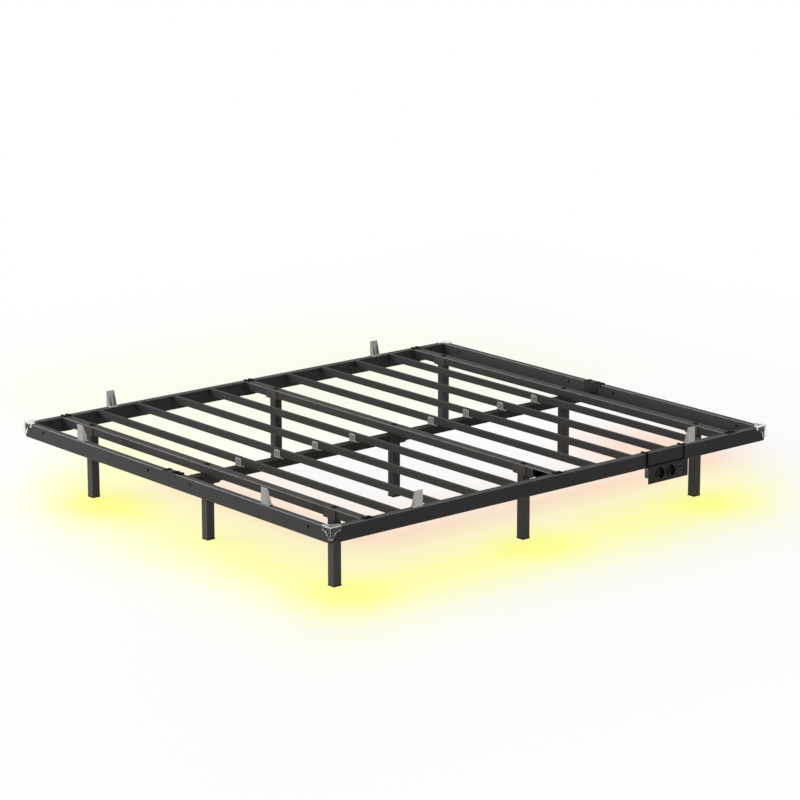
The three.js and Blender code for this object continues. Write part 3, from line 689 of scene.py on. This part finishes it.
class BED_OT_stage(BedOperator):
    """Floor, lamps, world and the camera of the photograph"""
    bl_idname = "bed.stage"
    bl_label = "Stage"

    CAMERA_PLACE = (8.51338, -7.12094, 3.17396)
    CAMERA_AXES = (
        (0.643299, 0.765615, -0.000756),
        (-0.186881, 0.157981, 0.969597),
        (0.742457, -0.623599, 0.244708),
    )
    LENS_MM = 137.7
    SENSOR_MM = 36.0
    FLOOR_REACH = 60.0

    # Each studio lamp's name, size and place
    LAMPS = (
        ("key", 3.6, (-4.2, -6.2, 2.7)),
        ("fill", 3.0, (6.5, 0.5, 1.6)),
        ("top", 5.0, (-0.5, -0.5, 5.5)),
    )
    STRIP_SHORT = 0.12
    STRIP_WIDTH = 0.01
    STRIP_PLACE = (0.0, 0.0125, -0.062)

    # The strip's glow, painted on the floor: distance past the two near rails, strength and colour
    GLOW = (
        (-0.95, 0.0, "inner_glow"),
        (-0.70, 0.45, "inner_glow"),
        (-0.50, 1.0, "inner_glow"),
        (-0.33, 0.85, "warm_glow"),
        (-0.10, 1.0, "glow"),
        (0.00, 0.9, "glow"),
        (0.12, 0.62, "glow"),
        (0.26, 0.3, "glow"),
        (0.42, 0.09, "glow"),
        (0.65, 0.0, "glow"),
    )
    GLOW_CORNER = 0.35
    FOOT_SHIFT = 0.05
    CLOUD = ((1.3, 2.0, 0.5), (0.2, 0.55))
    CLOUD_SHARE = 0.2

    # Where the painted glow fades along two slanted lines, and the patches of painted glow that lie over
    # it: green, pink, by the legs and a yellow haze
    HEAD_LINE = (0.8, 0.6)
    HEAD_FADE = (0.95, 1.5)
    LEFT_LINE = (-0.8, 0.9)
    LEFT_FADE = (-1.4, -0.75)
    GREEN = (0.0, 1.0, 0.0, 1.0)
    GREEN_SPAN = (-0.95, -0.6)
    BLUSH_PLACE = (0.05, 1.22)
    BLUSH_REACH = (0.05, 0.45)
    BLUSH = (1.0, 0.8, 0.7, 1.0)
    SPOT_LEGS = ("leg_foot_left", "leg_foot_right", "leg_middle_right", "leg_head_right")
    SPOT_SHIFT = (0.12, -0.03)
    SPOT_REACH = (0.02, 0.29)
    SPOT = (1.0, 1.0, 0.66, 1.0)
    HAZE_SHARE = 0.24
    HAZE_RIGHT = (-0.45, -1.15)
    HAZE_LEFT = (-3.4, -1.5)
    HAZE_FOOT = (-0.75, 0.1)
    HAZE_HEAD = (1.3, 2.6)
    SHADOW_REACH = (0.4, 3.0)

    def execute(self, context):
        scene = context.scene
        self.add_camera(scene)
        mesh = bpy.data.meshes.new("floor")
        bm = bmesh.new()
        bmesh.ops.create_grid(bm, x_segments=1, y_segments=1, size=self.FLOOR_REACH)
        bm.to_mesh(mesh)
        bm.free()
        mesh.materials.append(self.floor_material(scene))
        new_object("floor", mesh)
        scene.world = self.studio(scene.bed_stage.ambient)
        self.add_lamps(scene.bed_stage)
        scene.view_settings.view_transform = "Standard"
        return {"FINISHED"}

    def add_camera(self, scene):
        data = bpy.data.cameras.new("photo_camera")
        data.lens = self.LENS_MM
        data.sensor_width = self.SENSOR_MM
        data.clip_end = 4 * self.FLOOR_REACH
        scene.camera = new_object("photo_camera", data)
        axes = Matrix(self.CAMERA_AXES).transposed().to_4x4()
        scene.camera.matrix_world = move(*self.CAMERA_PLACE) @ axes

    @staticmethod
    def tint(tone, share):
        """A colour brought towards white, at share of its strength."""
        return [1 - (1 - part) * share for part in tone[:3]] + [1.0]

    def glow(self, graph, x, y, colours):
        """The colour of the light strip's glow, painted on the floor."""
        foot = 0 - y - (HALF_LENGTH - self.FOOT_SHIFT)
        past = graph.maths("SMOOTH_MAX", x - HALF_WIDTH, foot, self.GLOW_CORNER)
        start = self.GLOW[0][0]
        reach = self.GLOW[-1][0] - start
        stops = [((place - start) / reach, self.tint(getattr(colours, tone), share))
                 for place, share, tone in self.GLOW]
        glow = graph.node("ValToRGB", {"Fac": (past - start) / reach}, {"stops": stops}, "Color")
        cloud = graph.patches(*self.CLOUD) * self.CLOUD_SHARE
        start, slant = self.HEAD_LINE
        head = 1 - graph.smooth(y + (x - start) * slant, *self.HEAD_FADE)
        start, slant = self.LEFT_LINE
        left = graph.smooth(x + (y - start) * slant, *self.LEFT_FADE)
        glow = graph.mix((cloud + (1 - self.CLOUD_SHARE)) * head * left, WHITE, glow)
        glow = graph.mix(1 - graph.smooth(x, *self.GREEN_SPAN), glow, self.GREEN, "LIGHTEN")
        blush = graph.spot(x, y, self.BLUSH_PLACE, self.BLUSH_REACH)
        glow = graph.mix(blush, glow, self.BLUSH, "MULTIPLY")
        for leg in self.SPOT_LEGS:
            place = [part + shift for part, shift in zip(middle(leg), self.SPOT_SHIFT)]
            glow = graph.mix(graph.spot(x, y, place, self.SPOT_REACH), glow, self.SPOT, "MULTIPLY")
        haze = graph.smooth(x, *self.HAZE_RIGHT) * graph.smooth(y, *self.HAZE_FOOT)
        haze = haze * graph.smooth(x, *self.HAZE_LEFT) * (1 - graph.smooth(y, *self.HAZE_HEAD))
        return graph.mix(haze, glow, self.tint(colours.glow, self.HAZE_SHARE), "MULTIPLY")

    def floor_material(self, scene):
        graph = Graph(bpy.data.materials.new("floor"))
        x, y = graph.axes(graph.places(), "XY")
        glow = self.glow(graph, x, y, scene.bed_colours)
        seen = graph.seen()
        outside = graph.maths("MAXIMUM", graph.maths("ABSOLUTE", x) - HALF_WIDTH,
                              graph.maths("ABSOLUTE", y) - HALF_LENGTH)
        near = 1 - graph.smooth(outside, *self.SHADOW_REACH)
        plain = [scene.bed_stage.floor_share] * 3 + [1.0]
        bright = graph.node("Emission", {"Color": glow, "Strength": 1.0})
        lit = graph.node("BsdfDiffuse", {"Color": graph.mix(seen, plain, glow)})
        share = seen * (1 - near * scene.bed_stage.shadow_share)
        return graph.finish(graph.node("MixShader", {0: share, 1: lit, 2: bright}))

    @staticmethod
    def studio(ambient):
        graph = Graph(bpy.data.worlds.new("studio"))
        strength = graph.seen() * (1 - ambient) + ambient
        background = graph.node("Background", {"Color": WHITE, "Strength": strength})
        return graph.finish(background, "OutputWorld")

    def add_lamps(self, stage):
        for name, size, place in self.LAMPS:
            aim = Vector((0.0, 0.0, RAIL_TOP)) - Vector(place)
            self.add_lamp(name + "_lamp", getattr(stage, name + "_power"), size, size,
                          move(*place) @ aim.to_track_quat("-Z", "Y").to_matrix().to_4x4())
        for rail, place in RAIL_FRAMES.items():
            reach = 2 * (HALF_WIDTH if rail in ENDS else HALF_LENGTH) - self.STRIP_SHORT
            self.add_lamp("strip_lamp_" + rail, stage.strip_power, reach, self.STRIP_WIDTH,
                          place @ move(*self.STRIP_PLACE))

    @staticmethod
    def add_lamp(name, energy, reach, width, place):
        data = bpy.data.lights.new(name, "AREA")
        data.energy = energy
        data.shape = "RECTANGLE"
        data.size = reach
        data.size_y = width
        new_object(name, data).matrix_world = place


class BED_OT_paint_frame(BedOperator):
    """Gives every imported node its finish"""
    bl_idname = "bed.paint_frame"
    bl_label = "Paint"

    # The finishes that aren't named for their slot, and those of some painted nodes by first word
    SLOT_FINISH = {"guard_plastic": "clear_plastic", "strip_plastic": "strip_sleeve"}
    PAINT_SLOTS = ("frame_paint", "beam_paint")
    PAINTS = {"leg": "leg_paint", "slat": "slat_paint", "centre": "centre_paint"}

    def execute(self, context):
        for row in frame["record"]["subparts"]:
            node = frame["nodes"][row["node"]]
            slot = row["material_slot"]
            name = self.SLOT_FINISH.get(slot, slot)
            if slot in self.PAINT_SLOTS:
                name = self.PAINTS.get(row["node"].split("_")[0], name)
            node.data.materials.clear()
            node.data.materials.append(finish(name))
        return {"FINISHED"}


class BED_OT_corner_guards(BedOperator):
    """Four clear guards with rounded edges over the frame's corners"""
    bl_idname = "bed.corner_guards"
    bl_label = "Corner guards"

    def execute(self, context):
        edge = context.scene.bed_sizes.guard_edge
        for end in ENDS:
            for side in ("left", "right"):
                node = f"corner_guard_{end}_{side}"
                add_piece(node_copy(node, edge, 3), f"clear_guard_{end}_{side}", FRAME_BODY,
                          "clear_plastic", [node], SOFT_SMOOTH)
        return {"FINISHED"}


class BED_OT_retainers(BedOperator):
    """Six mattress retainers: a plate with two curved gussets and a rib on a foot"""
    bl_idname = "bed.retainers"
    bl_label = "Retainers"

    # In a rail's frame, in millimetres
    HALF = 17.75
    HEIGHT = 61.0
    WALL = 3.0
    FRONT = 1.0
    LIFT = 0.3
    FOOT_TOP = 3.3
    FOOT_BACK = 26.0
    FOOT_HALF = 19.0
    INSET = 0.15
    BACK_CURVE = ((24.0, 3.3), (21.4, 6.0), (19.6, 9.0), (18.5, 12.0), (12.4, 35.0), (4.0, 61.0))
    RIB_CURVE = ((18.0, 3.3), (15.5, 8.0), (13.4, 14.0), (8.0, 33.0), (3.6, 44.0))
    PEG = ((4.0, 3.0), (4.0, -8.2), (3.2, -9.0))

    def execute(self, context):
        edge = context.scene.bed_sizes.soft_edge / MM
        for rail, place in (("foot", "left"), ("foot", "right"), ("left", "foot"),
                            ("left", "head"), ("right", "foot"), ("right", "head")):
            node = f"retainer_{rail}_{place}"
            along = (RAIL_FRAMES[rail].inverted() @ middle(node)).x
            bm = copied(self.shape(edge), [RAIL_FRAMES[rail] @ move(along, 0, 0) @ IN_MM])
            add_piece(bm, f"mattress_retainer_{rail}_{place}", FRAME_BODY,
                      "retainer_plastic", [node], SOFT_SMOOTH)
        return {"FINISHED"}

    def shape(self, edge):
        bm = bmesh.new()
        slab(bm, (-self.HALF, self.HALF), (self.FRONT, self.FRONT + self.WALL),
             (self.LIFT, self.HEIGHT), edge)
        inside = self.FRONT + self.WALL / 2
        low = self.LIFT + self.INSET
        back = self.FOOT_BACK - self.INSET
        top = self.HEIGHT - self.INSET
        *curve, last = self.BACK_CURVE
        gusset = [(inside, low), (back, low), (back, self.FOOT_TOP), *curve, (last[0], top),
                  (inside, top)]
        for start in (self.INSET - self.HALF, self.HALF - self.WALL):
            prism(bm, gusset, (start, start + self.WALL - self.INSET), "x", edge)
        rib = self.RIB_CURVE
        prism(bm, [(inside, self.LIFT), (rib[0][0], self.LIFT), *rib, (inside, rib[-1][1])],
              (-self.WALL / 2, self.WALL / 2), "x", edge)
        slab(bm, (-self.FOOT_HALF, self.FOOT_HALF), (self.FRONT, self.FOOT_BACK),
             (self.LIFT, self.FOOT_TOP), edge)
        return turned(bm, self.PEG, 20, move(0, (self.FRONT + self.FOOT_BACK) / 2, 0))


class BED_OT_slat_clips(BedOperator):
    """Eight clips that hold the slats on the centre beam, each with a button on its slat"""
    bl_idname = "bed.slat_clips"
    bl_label = "Slat clips"

    # About a clip's middle and above its underside, in millimetres
    COUNT = 8
    HALF = 18.0
    TOP_HALF = 16.5
    TOP = 30.2
    TOP_RADIUS = 4.0
    BASE_TOP = 6.2
    TAB_INNER = 7.8
    TAB_REST = 10.2
    TAB_OUTER = 10.8
    RIM = 2.6
    EAR = ((15.0, 0.0), (32.0, 0.0), (32.0, 3.0), (21.0, 4.5), (16.5, 9.0), (15.0, 9.0))
    FLANGE = (32.0, -1.8, 2.0)
    RIBS = (-5.5, 5.5)
    RIB = 1.6
    BUTTON = ((4.5, 0.0), (4.5, 0.64), (3.6, 1.36), (2.025, 1.6))
    BUTTON_SHIFT = 3.0
    HOLLOW_MARGIN = 0.4
    HOLLOW_RISE = 0.15
    EDGE_SHARE = 0.6

    def execute(self, context):
        edge = context.scene.bed_sizes.soft_edge * self.EDGE_SHARE / MM
        places = []
        for number in range(1, self.COUNT + 1):
            node = f"slat_clip_{number}"
            slat = middle(f"slat_{number}").y
            places.append(move(0, slat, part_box(node)[0].z) @ IN_MM)
            add_piece(copied(self.shape(edge), places[-1:]), f"beam_clip_{number}", FRAME_BODY,
                      "grey_plastic", [node], SOFT_SMOOTH)
        # Painted shade in the clips' hollows.
        add_piece(copied(self.hollows(), places), "clip_hollows", FRAME_BODY,
                  "recess_plastic")
        tops = [move(self.BUTTON_SHIFT * MM, place.translation.y, RAIL_TOP) @ IN_MM
                for place in places]
        add_piece(copied(turned(bmesh.new(), self.BUTTON, 20), tops), "slat_buttons", FRAME_BODY,
                  "cap_plastic")
        return {"FINISHED"}

    def hollows(self):
        """Darker floors of the hollows between a clip's rim and ribs, on both tabs, as painted shade."""
        bm = bmesh.new()
        edge = self.TOP_HALF - self.RIM - self.HOLLOW_MARGIN
        rib = self.RIB / 2 + self.HOLLOW_MARGIN
        bounds = (-edge, *(place + way * rib for place in self.RIBS for way in SIGNS), edge)
        z = (self.BASE_TOP - self.RIM,
             self.TOP - self.TOP_RADIUS - self.RIM / 2 - self.HOLLOW_MARGIN)
        for side in SIGNS:
            y = (side * self.TAB_REST, side * (self.TAB_REST + self.HOLLOW_RISE))
            for x in zip(bounds[::2], bounds[1::2]):
                slab(bm, x, y, z)
        return bm

    def tab(self, bm, side, edge):
        """One tab: a thin sheet with a raised rim and two ribs on its outer face."""
        half = self.HALF
        rim = self.RIM
        radius = self.TOP_RADIUS
        shoulder = self.TOP_HALF - radius
        top = self.TOP - radius
        right = arc((shoulder, top), radius, 0, 90, 4)
        left = arc((-shoulder, top), radius, 90, 180, 4)
        span = sorted((side * self.TAB_INNER, side * self.TAB_REST))
        prism(bm, [(-half, 0), (half, 0), *right, *left], span, "y", edge)
        span = sorted((side * (self.TAB_REST - edge), side * self.TAB_OUTER))
        end = self.TOP_HALF
        for way in SIGNS:
            bar = [(way * (half - rim), 0), (way * half, 0), (way * end, top),
                   (way * (end - rim), top)]
            prism(bm, bar[::way], span, "y", edge / 2)
        for place in self.RIBS:
            slab(bm, (place - self.RIB / 2, place + self.RIB / 2), span, (0, self.TOP - rim),
                 edge / 2)
        cap = [(-end, top), (rim - end, top - rim / 2), (end - rim, top - rim / 2), (end, top),
               *right[1:], *left[:-1]]
        prism(bm, cap, span, "y", edge / 2)

    def shape(self, edge):
        bm = bmesh.new()
        slab(bm, (-self.HALF, self.HALF), (-self.TAB_OUTER, self.TAB_OUTER), (0, self.BASE_TOP),
             edge)
        for side in SIGNS:
            self.tab(bm, side, edge)
        prism(bm, self.EAR, (-self.TAB_OUTER, -self.TAB_INNER), "y", edge)
        reach, back, rise = self.FLANGE
        slab(bm, (self.HALF - self.RIM, reach), (-self.TAB_OUTER, back), (0, rise), edge / 2)
        return bm


class BED_OT_fasteners(BedOperator):
    """Bolts of the rails, caps on the beams and weld beads at the beams' ends"""
    bl_idname = "bed.fasteners"
    bl_label = "Fasteners"

    SPLICE_PLACE = 127 * MM
    END_CORNER_INSET = 120 * MM
    END_DROP = 19.5 * MM
    SIDE_CORNER_INSET = 94 * MM
    SIDE_DROP = 16 * MM
    CAP_DROP = 1 * MM
    WELD_TOP = 4 * MM
    WELD_HEIGHT = 26 * MM
    WELD_BACK = 3.3 * MM
    WELD_STEP_SHARE = 0.62
    WELD_SMOOTH = 80.0
    BEAM_HALF = 19.5 * MM

    def execute(self, context):
        sizes = context.scene.bed_sizes
        bolts = self.rail_places()
        caps = [move(*middle(leg).xy, RAIL_TOP - self.CAP_DROP) for leg in LEGS]
        for bm, places, name, slot in (
            (button_bolt(sizes), bolts, "rail_bolts", "frame_paint"),
            # The dark discs in the bolts' sockets are painted shade.
            (socket_shade(sizes), bolts, "bolt_sockets", "frame_paint"),
            (beam_cap(sizes), caps, "beam_caps", "beam_paint"),
        ):
            add_piece(copied(bm, places), name, FRAME_BODY, "cap_plastic")
        add_piece(self.weld_beads(sizes), "weld_beads", FRAME_BODY, "beam_paint",
                  smooth=self.WELD_SMOOTH)
        return {"FINISHED"}

    def rail_places(self):
        """A frame for each bolt's head, with z out of the rail."""
        places = []
        for rail, place in RAIL_FRAMES.items():
            if rail in ENDS:
                far = HALF_WIDTH - self.END_CORNER_INSET
                spots = (-far, -self.SPLICE_PLACE, self.SPLICE_PLACE, far)
                drop = self.END_DROP
            else:
                far = HALF_LENGTH - self.SIDE_CORNER_INSET
                spots = (-far, far)
                drop = self.SIDE_DROP
            for along in spots:
                places.append(place @ move(along, RAIL_THICKNESS, -drop) @ turn("X", -90.0))
                if rail in ENDS:
                    places.append(place @ move(along, 0, -drop) @ turn("X"))
        return places

    def weld_beads(self, sizes):
        """Ripples of weld down both sides of each crossbeam's ends."""
        ripple = bmesh.new()
        bmesh.ops.create_uvsphere(ripple, u_segments=8, v_segments=6, radius=sizes.weld_bead / 2)
        step = self.WELD_STEP_SHARE * sizes.weld_bead
        reach = HALF_WIDTH - RAIL_THICKNESS - self.WELD_BACK
        top = RAIL_TOP - self.WELD_TOP
        rows = [middle(f"crossbeam_{row}").y if row != "middle" else 0.0 for row in LEG_ROWS]
        return copied(ripple, [
            move(end * reach, across + side * self.BEAM_HALF, top - i * step)
            for across in rows for end in SIGNS for side in SIGNS
            for i in range(int(self.WELD_HEIGHT / step))])


class BED_OT_foot_caps(BedOperator):
    """A rounded cap on each leg's foot"""
    bl_idname = "bed.foot_caps"
    bl_label = "Foot caps"

    LEG_WIDTH = 34 * MM
    LIFT = 0.1 * MM
    EDGE = 1.2 * MM

    def execute(self, context):
        sizes = context.scene.bed_sizes
        width = self.LEG_WIDTH + 2 * sizes.foot_cap_wall
        bm = bmesh.new()
        for leg in LEGS:
            slab(bm, *around(middle(leg).xy, (width, width)), (self.LIFT, sizes.foot_cap),
                 self.EDGE)
        add_piece(bm, "foot_caps", FRAME_BODY, "foot_plastic")
        return {"FINISHED"}


class BED_OT_sleeves(BedOperator):
    """Dark sleeves on the crossbeams' hooks and on the pads of the centre beam's brackets"""
    bl_idname = "bed.sleeves"
    bl_label = "Sleeves"

    HOOKS = (mm(-14, -5), mm(6, 18))
    HOOK_START = 3.5 * MM
    PADS = (mm(-30, -16), mm(17, 34), mm(43, 57))
    PAD_BACK = 3 * MM
    LIFT = 0.15 * MM
    EDGE = 0.3 * MM

    def execute(self, context):
        thick = context.scene.bed_sizes.sleeve
        bm = bmesh.new()
        start = HALF_WIDTH - RAIL_THICKNESS - self.HOOK_START
        for row in LEG_ROWS:
            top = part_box(f"crossbeam_{row}")[1]
            centre = middle(f"leg_{row}_left").y
            for near, far in self.HOOKS:
                for side in SIGNS:
                    slab(bm, (side * start, side * (top.x + thick)),
                         (centre + near - thick, centre + far + thick),
                         (RAIL_TOP + self.LIFT, top.z + thick), self.EDGE)
        inside = HALF_LENGTH - RAIL_THICKNESS
        outside = HALF_LENGTH - self.PAD_BACK + thick
        for end, side in ENDS.items():
            low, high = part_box(f"centre_beam_{end}")
            way = 1 if high.x > -low.x else -1
            for near, far in self.PADS:
                slab(bm, (way * (near - thick), way * (far + thick)),
                     (side * inside, side * outside),
                     (RAIL_TOP + self.LIFT, high.z + thick), self.EDGE)
        add_piece(bm, "dark_sleeves", FRAME_BODY, "ring_plastic")
        return {"FINISHED"}


class BED_OT_light_strip(BedOperator):
    """The lights along the strip under the rails"""
    bl_idname = "bed.light_strip"
    bl_label = "Light strip"

    LIGHT = mm(3, 5, 0.2)
    SLIDE_BACK = 55 * MM
    SLIDE_FORWARD = 30 * MM
    STRIP_HALF = 5 * MM

    def execute(self, context):
        pitch = context.scene.bed_sizes.light_pitch
        low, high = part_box("led_strip")
        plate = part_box("socket_face_plate")
        gap = (plate[0].y - self.SLIDE_BACK, plate[1].y + self.SLIDE_FORWARD)
        across = high.x - self.STRIP_HALF
        along = high.y - self.STRIP_HALF
        bm = bmesh.new()
        slab(bm, *around((0, 0, 0), self.LIGHT))

        def spots(half):
            return [pitch * (i + 0.5) - half for i in range(int(2 * (half - pitch) / pitch) + 1)]
        places = [move(x, side * along, low.z) for x in spots(across) for side in SIGNS]
        places += [move(side * across, y, low.z) @ turn("Z") for y in spots(along)
                   for side in SIGNS if side < 0 or not gap[0] < y < gap[1]]
        add_piece(copied(bm, places), "strip_lights", FRAME_BODY, "strip_light")
        return {"FINISHED"}


class BED_OT_socket_unit(BedOperator):
    """Sleeves, a strip of painted shadow, rims, contacts, ports and screws of the socket unit"""
    bl_idname = "bed.socket_unit"
    bl_label = "Socket unit"

    OUTWARDS = turn("Y")
    SOFTENED = (("socket_hanger", "frame_paint", 0.5 * MM),
                ("socket_back_box", "panel_plastic", 1.0 * MM))
    SOFTENED_SHARP = 50.0
    SOCKETS = ("mains_socket_1", "mains_socket_2")
    BAND = 6 * MM
    BAND_LIP = 10 * MM
    HANGER_DROP = 47.7 * MM
    LIFT = 0.15 * MM
    GASKET = mm(0.2, 3.1)
    GASKET_LIP = 2 * MM
    WELL = 39 * MM
    WELL_DEPTH = 15 * MM
    # A rim's rings: radius and height
    RIM = (mm(20.3, -0.4), mm(22.5, -0.4), mm(22.5, 0.6), mm(22, 1), mm(19.8, 1), mm(19.2, 0.5),
           mm(19.2, -3))
    RIM_SMOOTH = 50.0
    PIN_SPACING = 19 * MM
    PIN = 5 * MM
    CLIP = mm(9, 4.4, 2.4)
    CLIP_BACK = {-1: 7.5 * MM, 1: 10.5 * MM}
    CLIP_INSET = 1.6 * MM
    # Each port's rise, width, height and wall
    PORTS = (mm(9, 12.9, 5.7, 0.9), mm(-5, 9.3, 3.3, 0.3))
    PORT_DEPTH = 5 * MM
    PORT_RISE = 0.25 * MM
    TONGUE = mm(8.4, 10.4, 2.3)
    TONGUE_PLACE = mm(-4.8, 0, 9.15)
    SCREW_INSET = 9 * MM
    SCREW_SINK = 0.6 * MM
    SCREW_SHARES = (0.6, 0.6, 0.5, 1.0)
    MARK_PLACE = mm(0, 91, 13)
    MARK = (mm(1.1, -0.35), mm(1.1, 0))

    def execute(self, context):
        sizes = context.scene.bed_sizes
        for node, slot, edge in self.SOFTENED:
            add_piece(node_copy(node, edge, sharp=self.SOFTENED_SHARP), node + "_soft",
                      UNIT_BODY, slot, [node], SOFT_SMOOTH)
        self.add_bands(sizes.sleeve)
        self.add_sockets()
        self.add_charger()
        self.add_screws(sizes)
        return {"FINISHED"}

    def add_bands(self, thick):
        """Sleeves round the two bands, over the rail and down both of its faces, and a black strip of
        painted shadow in the gap above the face plate, with its lip on the hanger's lower edge."""
        low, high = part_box("socket_hanger")
        back = HALF_WIDTH - RAIL_THICKNESS
        underside = RAIL_TOP - self.HANGER_DROP
        bm = bmesh.new()
        for start in (low.y, high.y - self.BAND):
            y = (start - thick, start + self.BAND + thick)
            slab(bm, (low.x - thick, high.x + thick), y, (RAIL_TOP + self.LIFT, high.z + thick))
            slab(bm, (HALF_WIDTH + self.LIFT, high.x + thick), y, (underside, high.z))
            slab(bm, (low.x - thick, back - self.LIFT), y,
                 (RAIL_TOP - self.BAND_LIP - thick, high.z))
        add_piece(bm, "band_sleeves", UNIT_BODY, "ring_plastic")
        # Painted shadow: a black strip in the gap above the face plate.
        bm = bmesh.new()
        slab(bm, [HALF_WIDTH + part for part in self.GASKET],
             (low.y + self.BAND, high.y - self.BAND),
             (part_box("socket_face_plate")[1].z + self.LIFT, underside + self.GASKET_LIP))
        add_piece(bm, "gasket", UNIT_BODY, "ring_plastic")

    def add_sockets(self):
        rims = []
        clips = bmesh.new()
        floors = bmesh.new()
        pins = bmesh.new()
        well = self.WELL / 2
        for node in self.SOCKETS:
            x, y, z = middle(node)
            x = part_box(node)[1].x
            rims.append(move(x, y, z) @ self.OUTWARDS)
            for up, back in self.CLIP_BACK.items():
                at = (x - back, y, z + up * (well - self.CLIP_INSET))
                slab(clips, *around(at, self.CLIP), self.CLIP[2] / 5)
            base = move(x - self.WELL_DEPTH, y, z) @ self.OUTWARDS
            turned(floors, ((well - self.LIFT, self.LIFT), (well - self.LIFT, 2 * self.LIFT)), 40,
                   base)
            for side in SIGNS:
                turned(pins, ((self.PIN / 2, self.LIFT), (self.PIN / 2, 3 * self.LIFT)), 20,
                       move(0, side * self.PIN_SPACING / 2, 0) @ base)
        add_piece(copied(self.rim(), rims), "socket_rims", UNIT_BODY,
                  "ring_plastic", smooth=self.RIM_SMOOTH)
        add_piece(clips, "earth_clips", UNIT_BODY, "contact_metal")
        # Painted light: lighter discs on the wells' floors.
        add_piece(floors, "well_floors", UNIT_BODY, "well_plastic")
        add_piece(pins, "pin_holes", UNIT_BODY, "ring_plastic")

    def rim(self):
        """A raised ring round a well, whose end discs are taken away and bridged."""
        bm = turned(bmesh.new(), self.RIM, 48)
        bmesh.ops.delete(bm, geom=[f for f in bm.faces if len(f.verts) > 4], context="FACES_ONLY")
        bmesh.ops.bridge_loops(bm, edges=[e for e in bm.edges if e.is_boundary])
        return bm

    def add_charger(self):
        front = Vector((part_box("usb_socket")[1].x, *middle("usb_socket").yz))
        shells = bmesh.new()
        depth = (front.x - self.PORT_DEPTH, front.x + self.PORT_RISE)
        for rise, wide, high, wall in self.PORTS:
            y, z = around((front.y, front.z + rise), (wide, high))
            for side in range(2):
                slab(shells, depth, (y[side] - wall / 2, y[side] + wall / 2), z)
                slab(shells, depth, y, (z[side] - wall / 2, z[side] + wall / 2))
        add_piece(shells, "port_shells", UNIT_BODY, "ring_plastic")
        tongue = bmesh.new()
        slab(tongue, *around(front + Vector(self.TONGUE_PLACE), self.TONGUE), self.TONGUE[2] / 10)
        add_piece(tongue, "port_tongue", UNIT_BODY, "port_plastic")

    def add_screws(self, sizes):
        low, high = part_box("socket_face_plate")
        face = Vector((high.x, *middle("socket_face_plate").yz))
        reach = (high.y - low.y) / 2 - self.SCREW_INSET
        flat = self.OUTWARDS @ Matrix.Diagonal(self.SCREW_SHARES)
        places = [move(face.x - self.SCREW_SINK, face.y + side * reach, face.z) @ flat
                  for side in SIGNS]
        add_piece(copied(button_bolt(sizes), places), "panel_screws", UNIT_BODY,
                  "panel_plastic")
        at = move(*(face + Vector(self.MARK_PLACE))) @ self.OUTWARDS
        add_piece(turned(bmesh.new(), self.MARK, 12, at), "pilot_light", UNIT_BODY,
                  "pale_plastic")


class BED_PT_panel(bpy.types.Panel):
    """Lists the bed's operators"""
    bl_idname = "BED_PT_panel"
    bl_label = "Metal double bed"
    bl_space_type = "VIEW_3D"
    bl_region_type = "UI"
    bl_category = "Bed"

    def draw(self, context):
        for step in STEPS:
            self.layout.operator(step.bl_idname)


STEPS = (
    BED_OT_stage,
    BED_OT_paint_frame,
    BED_OT_corner_guards,
    BED_OT_retainers,
    BED_OT_slat_clips,
    BED_OT_fasteners,
    BED_OT_foot_caps,
    BED_OT_sleeves,
    BED_OT_light_strip,
    BED_OT_socket_unit,
)
GROUPS = {
    "bed_sizes": BedFittingSizes,
    "bed_colours": BedColours,
    "bed_stage": BedStageSettings,
}


def register():
    for made in (*GROUPS.values(), *STEPS, BED_PT_panel):
        bpy.utils.register_class(made)
    for name, group in GROUPS.items():
        setattr(bpy.types.Scene, name, bpy.props.PointerProperty(type=group))


def unregister():
    for name in GROUPS:
        delattr(bpy.types.Scene, name)
    for made in (BED_PT_panel, *reversed(STEPS), *GROUPS.values()):
        bpy.utils.unregister_class(made)


def main():
    register()
    for step in STEPS:
        group, name = step.bl_idname.split(".")
        getattr(getattr(bpy.ops, group), name)()


if __name__ == "__main__":
    main()
